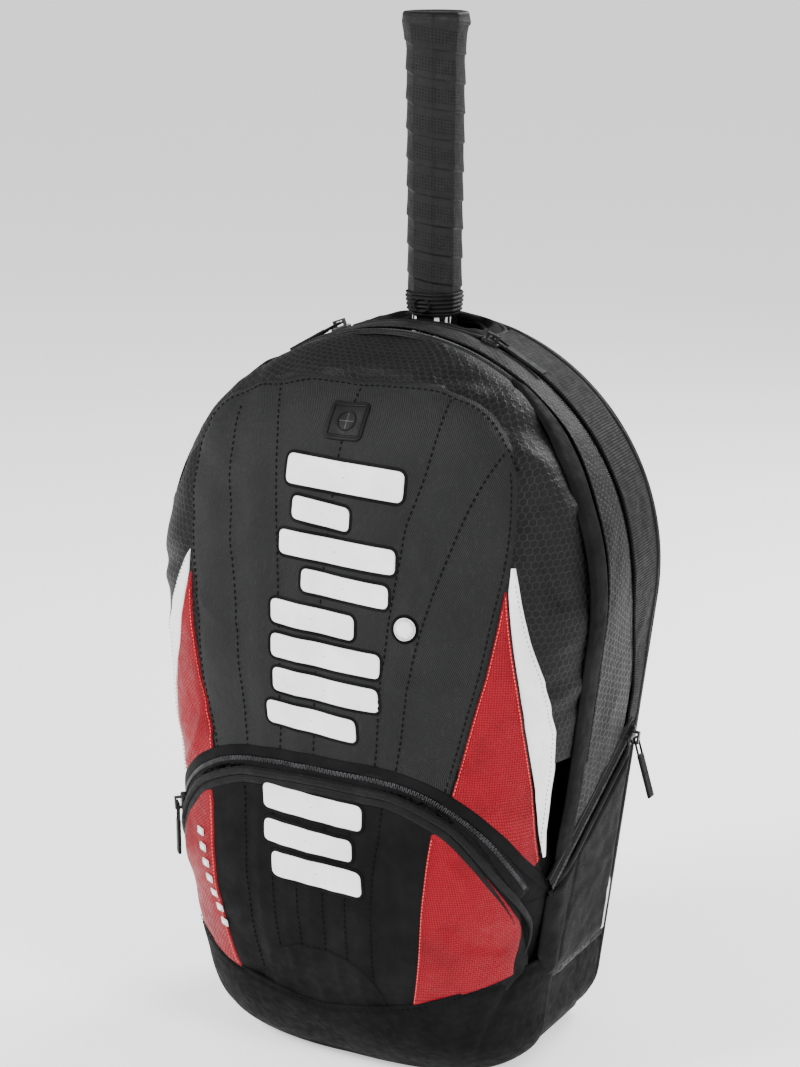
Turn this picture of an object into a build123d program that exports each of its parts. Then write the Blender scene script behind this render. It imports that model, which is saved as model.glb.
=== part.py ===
"""Racket backpack: a soft pack with a front pocket, two side pockets, a main compartment and a rear
compartment that holds one racket, its handle standing out of the top between two zip sliders.

Millimetres. +Z is up, the bag's front faces -Y, and +X is to the right of a person who looks at the front.
The origin is on the surface that the pack stands on, midway between its two sides.
"""

import math
import os

from build123d import *

# ---------------------------------------------------------------- driving dimensions
HEIGHT = 508.0  # floor to the crest of the bag
SHOULDER_R = 163.0  # radius of the round top, seen from the front
SHOULDER_Z = HEIGHT - SHOULDER_R  # height of that radius's centre
BASE_R = 42.0  # radius of the base's lower corners, seen from the front
BASE_X = 83.0  # that radius's centre, from the middle
RIM_Y = 10.0  # the domed front meets the straight sides here
BACK_Y = 88.0  # back edge of the sides
WALL = 4.0  # padded cloth
DOME_POWER = 2.8  # how square the dome is in plan
GAP = 0.5  # between pieces of different bodies

# how far the middle of the front stands in front of y = 0, as (height, distance)
FRONT = [
    (0, 46), (14, 62), (36, 78), (66, 91), (100, 102), (140, 108), (180, 106), (214, 100),
    (246, 96), (290, 95), (330, 91), (366, 86), (400, 78), (432, 68), (456, 56), (474, 41),
    (487, 25), (497, 9), (HEIGHT, -9),
]

BOOT_Z = 62.0  # top of the boot, which is the tub that the bag stands in
FOLD_Z = 240.0  # the front panel folds forward along this line
PANEL_TOP = 503.0  # top of the front panel
BACK_THICK = 8.0
DIVIDER_Y = 40.0  # front face of the padded divider

# seams, as (y, z) lines on the sides and over the top
MAIN_SEAM = [(12, HEIGHT + 20), (12, 452), (0, 404), (0, 228)]
RACKET_SEAM = [(40, HEIGHT + 20), (40, 345), (66, 280), (66, 236)]
ZIP_WIDTH = 8.0  # tape that shows between the two cloths
ZIP_THICK = 1.6
ZIP_SUNK = 0.8  # how far the tape lies under the cloth's face
MOUTH_HALF = 50.0  # half the racket's mouth, between the two sliders
MOUTH_Y = (35.9, 87.0)

# front pocket, as (x, z) from the middle outwards: the outside of its zip, and its own front
ARCH = [(0, 233), (60, 230), (94, 217), (118, 195), (131, 168), (137, 140)]
POCKET_EDGE = [(0, 224), (57, 220), (88, 207), (110, 186), (122, 161), (128, 128)]
POCKET_LOW = 66.0
POCKET_HINGE = (-93.0, 64.0)  # (y, z) of the seam that it folds down from
PANEL_HINGE = (-100.0, FOLD_Z)

# side pocket, as (y, z): its zip climbs from front to back
SIDE_POCKET = [(-30, 141), (80, 225), (80, 70), (-12, 70), (-30, 96)]
SIDE_CORE = [(-27.5, 130), (77.5, 260), (77.5, 72.5), (-10.5, 72.5), (-27.5, 97.2)]
SIDE_TAPE = [(-30, 142.5), (80, 226.5), (80, 237.5), (-30, 153.5)]
TAPE_LIFT = 2.0
SIDE_DEPTH = 9.0
SIDE_SKIN = 2.2
SIDE_CLEAR = 0.8
SIDE_HINGE_Z = 71.0

# racket
RACKET_Y = 68.5
HEAD_TIP_Z = 30.0
HEAD_HALF = (128.0, 170.0)
BEAM, TUBE_W = 21.0, 11.0
SHAFT_Z, COLLAR_Z, GRIP_Z, BUTT_Z, TOP_Z = 458.0, 512.0, 526.0, 698.0, 715.0
THROAT = [(43, 157), (56, 149)]  # where each arm leaves the hoop, above the hoop's middle
BUTT_ACROSS, BUTT_FLARE, COLLAR_R = 43.0, 11.0, (17.6, 19.6)
CORE_ACROSS, GRIP_ACROSS = 29.0, 36.0
STRING_R, STRING_PITCH = 0.65, 13.5
MAINS_Y, CROSSES_Y = RACKET_Y + 0.7, RACKET_Y - 0.7

# back and shoulder straps
STRAP_X, STRAP_W, STRAP_T = 64.0, 60.0, 10.0
STRAP_HINGE = (108.0, 462.0)  # (y, z)
STRAP_LOW = 208.0
LOCK_HINGE_Z = 203.0
LOCK_W, LOCK_H = 33.0, 26.0
WEBBING_W, WEBBING_T = 25.0, 1.6
LOOP_HINGE = (103.2, 486.0)
LOOP_W, LOOP_LEG, LOOP_LOW = 31.0, 10.0, 444.0
BACK_FACE = BACK_Y + BACK_THICK + 0.2

# zip hardware
SLIDER_L, SLIDER_W, SLIDER_T = 13.0, 8.0, 4.0
BRIDGE_L, BRIDGE_W, BRIDGE_T, BRIDGE_RISE = 9.0, 3.0, 1.2, 3.4
PIN_R, PIN_RISE = 0.8, 2.2
LOOP_HALF, LOOP_LONG = 3.2, 13.0
TAB_W, TAB_T = 7.0, 2.4
REST_LIFT = 0.3  # a slider's clearance over the cloth
TOP_PULL_TURN = -9.0  # degrees from level with the cloth: this pull lies on the round shoulder
SIDE_PULL_TURN = 24.0  # and this one leans on the side pocket
TOP_SLIDER_TURN = 20.5  # degrees from straight up to each of the two sliders beside the handle
HIGH_SLIDER_Z, LOW_SLIDER_Z = 326.0, 276.0  # the two sliders of the main zip
ARCH_SLIDER = (-119.5, 177.0)  # (x, z) of the front pocket's slider
SIDE_SLIDER_Y = 73.0

FAR = 400.0


# ---------------------------------------------------------------- outline
def side_angle():
    """Direction in which a straight side faces, measured from +X towards +Z."""
    dx, dz = BASE_X, BASE_R - SHOULDER_Z
    return math.atan2(dz, dx) + math.acos((SHOULDER_R - BASE_R) / math.hypot(dx, dz))


LEAN = side_angle()


def half_width(z, inset=0.0):
    """Half the bag's width at a height: round top, straight flared sides, rounded lower corners."""
    top_r, low_r = SHOULDER_R - inset, BASE_R - inset
    top_join = SHOULDER_Z + top_r * math.sin(LEAN)
    low_join = BASE_R + low_r * math.sin(LEAN)
    if z >= top_join:
        return math.sqrt(max(top_r**2 - (z - SHOULDER_Z) ** 2, 1.0))
    if z <= low_join:
        return BASE_X + math.sqrt(max(low_r**2 - (BASE_R - z) ** 2, 0.0))
    low_x = BASE_X + low_r * math.cos(LEAN)
    top_x = top_r * math.cos(LEAN)
    return low_x + (top_x - low_x) * (z - low_join) / (top_join - low_join)


def front_depth(z):
    """How far the middle of the front stands in front of y = 0."""
    for (a, fa), (b, fb) in zip(FRONT, FRONT[1:]):
        if z <= b:
            return fa + (fb - fa) * (z - a) / (b - a)
    return FRONT[-1][1]


def outline_block(inset, y0, y1, foot=None):
    """A prism along Y of the bag's front-view outline, moved inwards by inset."""
    top_r, low_r = SHOULDER_R - inset, BASE_R - inset
    foot = inset if foot is None else foot
    c, s = math.cos(LEAN), math.sin(LEAN)
    high = (top_r * c, SHOULDER_Z + top_r * s)
    low = (BASE_X + low_r * c, BASE_R + low_r * s)
    half = LEAN / 2 - math.pi / 4
    knee = (BASE_X + low_r * math.cos(half), BASE_R + low_r * math.sin(half))

    def at(p, sign=1):
        return (sign * p[0], y0, p[1])

    edges = [
        ThreePointArc(at(high), (0, y0, SHOULDER_Z + top_r), at(high, -1)),
        Line(at(high, -1), at(low, -1)),
        ThreePointArc(at(low, -1), at(knee, -1), (-BASE_X, y0, foot)),
        Line((-BASE_X, y0, foot), (BASE_X, y0, foot)),
        ThreePointArc((BASE_X, y0, foot), at(knee), at(low)),
        Line(at(low), at(high)),
    ]
    return extrude(make_face(edges), amount=y1 - y0, dir=(0, 1, 0))


# ---------------------------------------------------------------- shape helpers
def prism_x(points, x0=-FAR, x1=FAR):
    """A prism along X whose section is a polygon of (y, z)."""
    wire = Polyline(*[(x0, y, z) for y, z in points], close=True)
    return extrude(make_face(wire), amount=x1 - x0, dir=(1, 0, 0))


def prism_y(points, y0=-FAR, y1=FAR):
    """A prism along Y whose section is a polygon of (x, z)."""
    wire = Polyline(*[(x, y0, z) for x, z in points], close=True)
    return extrude(make_face(wire), amount=y1 - y0, dir=(0, 1, 0))


def slab(x0, x1, y0, y1, z0, z1):
    """A box between two corners."""
    box = Box(x1 - x0, y1 - y0, z1 - z0, align=(Align.MIN, Align.MIN, Align.MIN))
    return Pos(x0, y0, z0) * box


def level(z0, z1):
    """Everything between two heights."""
    return slab(-FAR, FAR, -FAR, FAR, z0, z1)


def round_y(shape, radius):
    """The shape with its edges that run along Y rounded."""
    return fillet(shape.edges().filter_by(Axis.Y), radius)


def biggest(shape):
    """The largest solid of a shape, without the crumbs of a cut."""
    return max(shape.solids(), key=lambda s: s.volume)


def mirror_x(shape):
    """The same piece on the other side of the bag."""
    return mirror(shape, about=Plane.YZ)


def moved(line, shift):
    """A seam line moved along Y."""
    return [(y + shift, z) for y, z in line]


def band(line, width):
    """A band of that width centred on a seam line, right through the bag."""
    return prism_x(moved(line, -width / 2) + moved(line, width / 2)[::-1])


def ahead_of(line):
    """Everything in front of a seam line, which runs on straight down from its end."""
    down = list(line) + [(line[-1][0], -20)]
    return prism_x([(-300, down[0][1])] + down + [(-300, -20)])


def both_sides(points):
    """An outline read from the middle outwards, with its mirror image before it."""
    return [(-x, z) for x, z in points[::-1]] + [p for p in points if p[0] > 0]


# ---------------------------------------------------------------- domed front
def dome_curve(z, inset, y_end):
    """The front's plan at one height, from its left end at y_end to its right end."""
    w = half_width(z, inset)
    depth = RIM_Y + front_depth(z) - inset
    span = (1 - ((RIM_Y - y_end) / depth) ** DOME_POWER) ** (1 / DOME_POWER)
    points = []
    for step in range(17):
        a = math.asin(span) * (step / 8 - 1)
        lift = (1 - abs(math.sin(a)) ** DOME_POWER) ** (1 / DOME_POWER)
        points.append((w * math.sin(a), RIM_Y - depth * lift, z))
    return points


def seam_y(z):
    """Where the front cloth ends along the main zip."""
    line = moved(MAIN_SEAM, -ZIP_WIDTH / 2 - 1)
    for (ya, za), (yb, zb) in zip(line, line[1:]):
        if z >= zb:
            return yb + (ya - yb) * (z - zb) / (za - zb)
    return line[-1][0]


def dome_strip(z0, z1):
    """The front cloth between two heights, from one main seam round to the other."""
    heights = [z0] + [z for z, _ in FRONT if z0 + 5 < z < z1 - 5] + [z1]
    faces = []
    for z in heights:
        outer = dome_curve(z, 0.0, seam_y(z))
        inner = dome_curve(z, WALL, seam_y(z))
        edges = [Spline(*outer), Line(outer[-1], inner[-1]), Spline(*inner), Line(inner[0], outer[0])]
        faces.append(make_face(edges))
    return loft(faces)


def boot_block(inset, low, high):
    """The foot of the bag as a block: domed front, straight sides and flat back."""
    heights = [low] + [z for z in (7, 14, 24, 36, 50, 66) if low + 2 < z < high - 2] + [high]
    faces = []
    for z in heights:
        points = dome_curve(z, inset, RIM_Y - 0.01)
        w, back = half_width(z, inset), BACK_Y - inset
        points[0], points[-1] = (-w, RIM_Y, z), (w, RIM_Y, z)
        rest = Polyline(points[-1], (w, back, z), (-w, back, z), points[0])
        faces.append(make_face([Spline(*points), *rest.edges()]))
    return loft(faces, ruled=True)


# ---------------------------------------------------------------- cloth pieces
def make_front():
    """The front panel, the cloth below it, the front pocket and its zip."""
    parts = {"front_panel": dome_strip(FOLD_Z + GAP, PANEL_TOP)}
    lower = dome_strip(BOOT_Z + GAP, FOLD_Z)
    arch = prism_y([(-137, 40), *both_sides(ARCH), (137, 40)], -FAR, -30)
    pocket = prism_y([(-128, POCKET_LOW), *both_sides(POCKET_EDGE), (128, POCKET_LOW)], -FAR, -30)
    inside = [(x * 1.014, z + 3.4) for x, z in POCKET_EDGE]
    keep_off = prism_y([(-129.8, 30), *both_sides(inside), (129.8, 30)], -FAR, -30)
    parts["pocket_front"] = biggest(lower & pocket)
    parts["pocket_zip"] = biggest((lower & arch) - keep_off)
    parts["lower_front_panel"] = biggest(lower - arch)
    return parts


def make_boot():
    """The tub that the bag stands in."""
    return biggest(boot_block(0, 0, BOOT_Z) - boot_block(WALL, WALL, BOOT_Z + 20))


def make_sides():
    """The gussets that run up one side, over the top and down the other, and their zips."""
    parts = {}
    skin = outline_block(0, -20, BACK_Y) - outline_block(WALL, -30, BACK_Y + 10)
    skin &= level(BOOT_Z + GAP, HEIGHT + 10)
    below_zip = (seam_y(0) + GAP, MAIN_SEAM[-1][1] - GAP)
    front_edge = ahead_of(moved(MAIN_SEAM, ZIP_WIDTH / 2) + [below_zip])
    racket_front = ahead_of(moved(RACKET_SEAM, -ZIP_WIDTH / 2))
    racket_back = ahead_of(moved(RACKET_SEAM, ZIP_WIDTH / 2))
    over_top = slab(-60, 60, -FAR, FAR, HEIGHT - 60, HEIGHT + 10)
    between = (skin & racket_front) - front_edge
    parts["top_gusset"] = biggest(between & over_top)
    right = biggest((between - over_top) & slab(0, FAR, -FAR, FAR, 0, HEIGHT))
    parts["side_gusset_right"] = right
    parts["side_gusset_left"] = mirror_x(right)
    mouth = slab(-MOUTH_HALF, MOUTH_HALF, *MOUTH_Y, HEIGHT - 60, HEIGHT + 10)
    parts["rear_gusset"] = biggest(skin - racket_back - mouth)
    tape = outline_block(ZIP_SUNK, -30, BACK_Y) - outline_block(ZIP_SUNK + ZIP_THICK, -40, BACK_Y + 10)
    parts["main_zip"] = tape & band(MAIN_SEAM, ZIP_WIDTH - 0.2)
    parts["racket_zip"] = (tape & band(RACKET_SEAM, ZIP_WIDTH - 0.2)) - mouth
    return parts


def make_inside():
    """What divides the bag inside and keeps its base flat."""
    parts = {}
    inner = WALL + 0.3
    cavity = outline_block(inner + 2.5, DIVIDER_Y, DIVIDER_Y + 4)
    parts["divider_panel"] = cavity & level(inner + 3, HEIGHT - 14)
    board = boot_block(inner, inner, 30) & level(inner, inner + 2.2)
    parts["base_board"] = board & slab(-FAR, FAR, -FAR, DIVIDER_Y + 40, 0, 30)
    wall = [(-90, 72), (90, 72), (102, 150), (92, 188), (56, 205), (-56, 205), (-92, 188), (-102, 150)]
    parts["pocket_rear_wall"] = prism_y(wall, -70, -67)
    return parts


def make_back():
    """Back panel with its stiff sheet, pads, strap yoke and lower anchors."""
    parts = {}
    panel = outline_block(0.5, BACK_Y, BACK_Y + BACK_THICK, foot=4) & level(6, HEIGHT - 6)
    sheet = slab(-105, 105, BACK_Y + 3, BACK_Y + 4.5, 70, 440)
    parts["back_panel"] = panel - slab(-105.3, 105.3, BACK_Y + 2.8, BACK_Y + 4.7, 69.7, 440.3)
    parts["frame_sheet"] = sheet
    pad = round_y(slab(14, 98, BACK_FACE, BACK_FACE + 5, 132, 430), 18)
    parts["back_pad_right"] = pad
    parts["back_pad_left"] = mirror_x(pad)
    parts["lumbar_pad"] = round_y(slab(-86, 86, BACK_FACE, BACK_FACE + 6, 80, 124), 16)
    yoke = round_y(slab(34, 98, BACK_FACE, BACK_FACE + 5.6, 440, 474), 8)
    parts["strap_yoke"] = Compound([yoke.solid(), mirror_x(yoke).solid()])
    parts["haul_loop_tab"] = round_y(slab(-30, 30, BACK_FACE, BACK_FACE + 5.0, 478, 494), 4)
    wing = round_y(slab(92, 118, BACK_FACE, BACK_FACE + 6.2, 42, 76), 4)
    run = [(52.3, 163.6), (75.7, 172.4), (116.7, 64.4), (93.3, 55.6)]
    webbing = prism_y(run, BACK_FACE + 6.4, BACK_FACE + 6.4 + WEBBING_T)
    parts.update({"lower_anchor_right": wing, "lower_anchor_left": mirror_x(wing)})
    parts.update({"strap_webbing_right": webbing, "strap_webbing_left": mirror_x(webbing)})
    return parts


def make_straps():
    """Shoulder pads, the ladder locks that hang from them, and the haul loop folded down."""
    parts = {}
    y = STRAP_HINGE[0]
    edge = slab(STRAP_X - STRAP_W / 2, STRAP_X + STRAP_W / 2, y - STRAP_T / 2, y + STRAP_T / 2, STRAP_LOW, 464)
    pad = round_y(edge, 14)
    low = LOCK_HINGE_Z - LOCK_H
    lock = slab(STRAP_X - LOCK_W / 2, STRAP_X + LOCK_W / 2, y - 1.6, y + 1.6, low, LOCK_HINGE_Z)
    lock = round_y(lock, 3)
    for z in (5, 15):
        slot_z = LOCK_HINGE_Z - LOCK_H + z
        lock -= slab(STRAP_X - 13, STRAP_X + 13, y - 3, y + 3, slot_z, slot_z + 6)
    parts.update({"shoulder_pad_right": pad, "shoulder_pad_left": mirror_x(pad)})
    parts.update({"ladder_lock_right": lock, "ladder_lock_left": mirror_x(lock)})
    y, top = LOOP_HINGE
    loop = round_y(slab(-LOOP_W, LOOP_W, y - 1, y + 1, LOOP_LOW, top + 1.2), 9)
    inner = LOOP_W - LOOP_LEG
    hand = round_y(slab(-inner, inner, y - 3, y + 3, LOOP_LOW + 8, top - 10), 6)
    parts["haul_loop"] = loop - hand
    return parts


def make_side_pocket(name):
    """One side pocket, open towards the bag's side and along its zip, and the zip's tape."""
    near = outline_block(-SIDE_CLEAR, -60, 100, foot=-SIDE_CLEAR)
    far = outline_block(-SIDE_DEPTH, -60, 100, foot=-SIDE_DEPTH)
    room = outline_block(SIDE_SKIN - SIDE_DEPTH, -70, 110, foot=SIDE_SKIN - SIDE_DEPTH)
    pouch = (far - near) & prism_x(SIDE_POCKET, 0)
    pouch -= room & prism_x(SIDE_CORE, 0)
    tape = outline_block(-TAPE_LIFT, -60, 100, foot=-TAPE_LIFT) - outline_block(-0.02, -70, 110, foot=-0.02)
    tape = biggest(tape & prism_x(SIDE_TAPE, 0))
    pouch = biggest(pouch)
    if name == "left":
        pouch, tape = mirror_x(pouch), mirror_x(tape)
    return {"side_pocket_" + name: pouch, "side_zip_" + name: tape}


def make_trim(front_panel):
    """The cable port in the front panel and the panel with the hole that it sits in."""
    slope = math.degrees(math.atan2(front_depth(456) - front_depth(474), 474 - 456))
    place = Pos(0, -front_depth(459) - 0.3, 459) * Rot(90 - slope, 0, 0)
    plate = fillet(Box(30, 25, 2.0).edges().filter_by(Axis.Z), 7)
    recess = fillet(Box(30.6, 25.6, 12.0).edges().filter_by(Axis.Z), 7.3)
    neck = Pos(0, 0, -4) * Cylinder(8, 8.0)
    port = place * Pos(0, 0, 0.6) * (plate + neck)
    cut = place * (Pos(0, 0, 5.55) * recess + Cylinder(8.3, 30))
    return {"cable_port": port, "front_panel": biggest(front_panel - cut)}


# ---------------------------------------------------------------- racket
def octagon(across, z0, z1, y=RACKET_Y):
    """An upright eight-sided bar."""
    side = RegularPolygon(across / 2, 8, major_radius=False, rotation=22.5)
    return Pos(0, y, z0) * extrude(side, amount=z1 - z0)


def make_racket():
    """The racket, head down: hoop with throat and shaft, strings, collar, grip and butt cap."""
    parts = {}
    a, b = HEAD_HALF
    middle = HEAD_TIP_Z + b
    plane = Plane((0, RACKET_Y + BEAM / 2, middle), x_dir=(1, 0, 0), z_dir=(0, -1, 0))
    hoop = plane * extrude(Ellipse(a, b) - Ellipse(a - TUBE_W, b - TUBE_W), amount=BEAM)
    hoop = fillet(hoop.edges(), 4.0)
    arm = [(x, middle + z) for x, z in THROAT] + [(15, SHAFT_Z + 15), (2, SHAFT_Z + 15)]
    arms = prism_y(arm, RACKET_Y - 8, RACKET_Y + 8)
    arms = fillet(arms.edges().filter_by(lambda e: e.length > 50), 3.0)
    shaft = octagon(CORE_ACROSS, SHAFT_Z, BUTT_Z)
    frame = hoop + arms + mirror_x(arms) + shaft
    parts["racket_frame"] = frame
    inner_a, inner_b = a - TUBE_W - 1.0, b - TUBE_W - 1.0
    strings = []
    for i in range(-8, 9):
        x = i * STRING_PITCH
        if abs(x) < inner_a - 4:
            reach = inner_b * math.sqrt(1 - (x / inner_a) ** 2)
            strings.append(Pos(x, MAINS_Y, middle) * Cylinder(STRING_R, 2 * reach))
    for i in range(-11, 12):
        z = i * STRING_PITCH
        if abs(z) < inner_b - 6:
            reach = inner_a * math.sqrt(1 - (z / inner_b) ** 2)
            strings.append(Pos(0, CROSSES_Y, middle + z) * Rot(0, 90, 0) * Cylinder(STRING_R, 2 * reach))
    parts["racket_strings"] = Compound([s.solid() for s in strings])
    core = octagon(CORE_ACROSS + 0.1, 400, BUTT_Z + 2)
    parts["racket_grip"] = octagon(GRIP_ACROSS, GRIP_Z, BUTT_Z - 0.1) - core
    eight = dict(side_count=8, major_radius=False, rotation=22.5)
    cap_low = Pos(0, RACKET_Y, BUTT_Z) * RegularPolygon(GRIP_ACROSS / 2, **eight)
    cap_high = Pos(0, RACKET_Y, BUTT_Z + BUTT_FLARE) * RegularPolygon(BUTT_ACROSS / 2, **eight)
    flare = loft([cap_low, cap_high], ruled=True)
    end = octagon(BUTT_ACROSS, BUTT_Z + BUTT_FLARE, TOP_Z)
    end = fillet(end.faces().sort_by(Axis.Z)[-1].edges(), 3.0)
    parts["butt_cap"] = flare + end
    ring = Pos(0, RACKET_Y, (COLLAR_Z + GRIP_Z) / 2) * Cone(*COLLAR_R, GRIP_Z - COLLAR_Z - 0.1)
    parts["grip_collar"] = ring - core
    return parts


# ---------------------------------------------------------------- zip sliders and their pulls
def surface_normal(x, z):
    """Outward direction of the domed front at (x, z)."""
    step = 0.5
    dx = (dome_y(x + step, z) - dome_y(x - step, z)) / (2 * step)
    dz = (dome_y(x, z + step) - dome_y(x, z - step)) / (2 * step)
    return Vector(dx, -1, dz).normalized()


def dome_y(x, z):
    """Where the domed front is at (x, z)."""
    depth = RIM_Y + front_depth(z)
    return RIM_Y - depth * (1 - (abs(x) / half_width(z)) ** DOME_POWER) ** (1 / DOME_POWER)


def hardware(point, normal, track, lug=None, turn=None, tab=32.0, lift=REST_LIFT):
    """A slider and its pull. The pull hangs as straight down as its pin lets it, or lies at a stated turn."""
    normal = Vector(*normal).normalized()
    track = Vector(*track).normalized()
    down = Vector(0, 0, -1)
    lug = Vector(*lug) if lug else down - normal * down.dot(normal)
    body = Plane(Vector(*point), x_dir=track, z_dir=normal)
    eye = Plane(Vector(*point), x_dir=lug.normalized(), z_dir=normal)
    top = lift + SLIDER_T
    shell = body * Pos(0, 0, lift + SLIDER_T / 2) * fillet(Box(SLIDER_L, SLIDER_W, SLIDER_T).edges(), 1.2)
    rise = BRIDGE_RISE + BRIDGE_T
    arch = Box(BRIDGE_L, BRIDGE_W, rise + 1)
    arch -= Pos(0, 0, -BRIDGE_T) * Box(BRIDGE_L - 2.4, BRIDGE_W + 1, rise + 1)
    slider = shell + eye * Pos(0, 0, top + rise / 2 - 0.5) * arch
    if turn is None:
        turn = math.degrees(math.atan2(down.dot(normal), down.dot(lug.normalized())))
    pin = eye * Pos(0, 0, top + PIN_RISE) * Rot(0, -turn, 0)
    ring = Rot(90, 0, 0) * Cylinder(PIN_R, 2 * LOOP_HALF + 2 * PIN_R)
    for side in (-LOOP_HALF, LOOP_HALF):
        ring += Pos(LOOP_LONG / 2, side, 0) * Rot(0, 90, 0) * Cylinder(PIN_R, LOOP_LONG)
    plate = Pos(LOOP_LONG + tab / 2 - 1, 0, 0) * fillet(Box(tab, TAB_W + 1.2, TAB_T).edges(), 1.1)
    pull = pin * (ring + plate)
    return slider.solid(), pull.solid()


def make_hardware():
    """All seven zip sliders and their pulls."""
    parts = {}
    turn = math.radians(TOP_SLIDER_TURN)
    c, s = math.cos(turn), math.sin(turn)
    side, drop = math.cos(LEAN), math.sin(LEAN)
    high = math.asin((HIGH_SLIDER_Z - SHOULDER_Z) / SHOULDER_R)
    sites = {}
    crown = (SHOULDER_R * s, RACKET_SEAM[0][0], SHOULDER_Z + SHOULDER_R * c)
    flip = (-crown[0], crown[1], crown[2])
    down, down_left = (c, 0, -s), (-c, 0, -s)
    sites["racket_right"] = dict(point=crown, normal=(s, 0, c), track=down, lug=down, turn=TOP_PULL_TURN)
    sites["racket_left"] = dict(point=flip, normal=(-s, 0, c), track=down_left, lug=down_left, turn=TOP_PULL_TURN)
    y = MAIN_SEAM[-1][0]
    sites["main_high"] = dict(
        point=(-SHOULDER_R * math.cos(high), y, HIGH_SLIDER_Z),
        normal=(-math.cos(high), 0, math.sin(high)),
        track=(math.sin(high), 0, math.cos(high)),
    )
    sites["main_low"] = dict(
        point=(-half_width(LOW_SLIDER_Z), y, LOW_SLIDER_Z), normal=(-side, 0, drop), track=(drop, 0, side)
    )
    x, z = ARCH_SLIDER
    normal = surface_normal(x, z)
    along = Vector(13, 0, 27)
    along -= normal * along.dot(normal)
    sites["front_pocket"] = dict(point=(x, dome_y(x, z), z), normal=normal, track=along, tab=26.0, lift=1.2)
    (y0, z0), (y1, z1) = SIDE_TAPE[0], SIDE_TAPE[1]
    centre = (SIDE_TAPE[3][1] - z0) / 2
    z = z0 + centre + (SIDE_SLIDER_Y - y0) * (z1 - z0) / (y1 - y0)
    for name, sign in (("side_right", 1), ("side_left", -1)):
        out = Vector(sign * side, 0, drop)
        foot = Vector(sign * half_width(z), SIDE_SLIDER_Y, z) + out * TAPE_LIFT
        along = Vector(0, y0 - y1, z0 - z1)
        along -= out * along.dot(out)
        sites[name] = dict(point=foot, normal=out, track=along, turn=SIDE_PULL_TURN)
    for name, site in sites.items():
        slider, pull = hardware(**site)
        parts["zip_slider_" + name] = slider
        parts["zip_pull_" + name] = pull
    return parts


# ---------------------------------------------------------------- assembly
def make_all():
    """Every piece of the backpack, by name, where it stands when the bag is closed."""
    parts = make_front()
    parts.update(make_trim(parts["front_panel"]))
    parts["base_boot"] = make_boot()
    parts.update(make_sides())
    parts.update(make_inside())
    parts.update(make_back())
    parts.update(make_straps())
    for name in ("right", "left"):
        parts.update(make_side_pocket(name))
    parts.update(make_racket())
    parts.update(make_hardware())
    return parts


def main():
    os.makedirs("parts", exist_ok=True)
    for name, shape in make_all().items():
        shape.label = name
        export_step(shape, f"parts/{name}.step")


main()
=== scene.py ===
"""Racket backpack: looks. Lengths in the making functions are millimetres; meshes are written in metres."""

import math

import bmesh
import bpy
import numpy as np
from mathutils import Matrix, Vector


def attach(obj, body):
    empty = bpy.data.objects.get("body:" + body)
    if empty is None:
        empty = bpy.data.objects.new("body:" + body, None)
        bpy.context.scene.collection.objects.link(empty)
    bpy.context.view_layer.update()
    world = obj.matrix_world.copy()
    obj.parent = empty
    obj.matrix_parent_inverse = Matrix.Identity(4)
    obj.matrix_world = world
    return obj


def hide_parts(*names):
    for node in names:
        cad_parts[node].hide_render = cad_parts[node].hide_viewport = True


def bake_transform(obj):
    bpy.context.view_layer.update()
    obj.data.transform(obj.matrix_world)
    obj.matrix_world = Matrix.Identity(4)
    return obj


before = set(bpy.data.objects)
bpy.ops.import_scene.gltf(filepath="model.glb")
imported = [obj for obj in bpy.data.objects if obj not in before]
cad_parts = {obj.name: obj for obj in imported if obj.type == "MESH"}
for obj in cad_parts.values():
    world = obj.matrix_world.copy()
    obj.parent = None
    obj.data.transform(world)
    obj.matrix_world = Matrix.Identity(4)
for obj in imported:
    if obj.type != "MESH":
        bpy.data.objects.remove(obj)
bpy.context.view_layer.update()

# ---------------------------------------------------------------- the bag's shape, as in the CAD source
HEIGHT, SHOULDER_R, BASE_R, BASE_X = 508.0, 163.0, 42.0, 83.0
SHOULDER_Z = HEIGHT - SHOULDER_R
RIM_Y, BACK_Y, DOME_POWER = 10.0, 88.0, 2.8
LEAN = math.atan2(BASE_R - SHOULDER_Z, BASE_X) + math.acos(
    (SHOULDER_R - BASE_R) / math.hypot(BASE_X, BASE_R - SHOULDER_Z)
)
FRONT_Z = [0, 14, 36, 66, 100, 140, 180, 214, 246, 290, 330, 366, 400, 432, 456, 474, 487, 497, 508]
FRONT_D = [46, 62, 78, 91, 102, 108, 106, 100, 96, 95, 91, 86, 78, 68, 56, 41, 25, 9, -9]
ARCH = [(0, 233), (60, 230), (94, 217), (118, 195), (131, 168), (137, 140)]


def hermite(xs, ys):
    """A smooth curve through a table of points, as a function of an array."""
    xs, ys = np.array(xs, float), np.array(ys, float)
    slope = np.gradient(ys, xs)

    def read(x):
        x = np.clip(np.asarray(x, float), xs[0], xs[-1])
        i = np.clip(np.searchsorted(xs, x) - 1, 0, len(xs) - 2)
        h = xs[i + 1] - xs[i]
        t = (x - xs[i]) / h
        a, b = ys[i], ys[i + 1]
        return (
            a * (1 + 2 * t) * (1 - t) ** 2
            + b * t * t * (3 - 2 * t)
            + h * t * (1 - t) * ((1 - t) * slope[i] - t * slope[i + 1])
        )

    return read


front_depth = hermite(FRONT_Z, FRONT_D)


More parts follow.
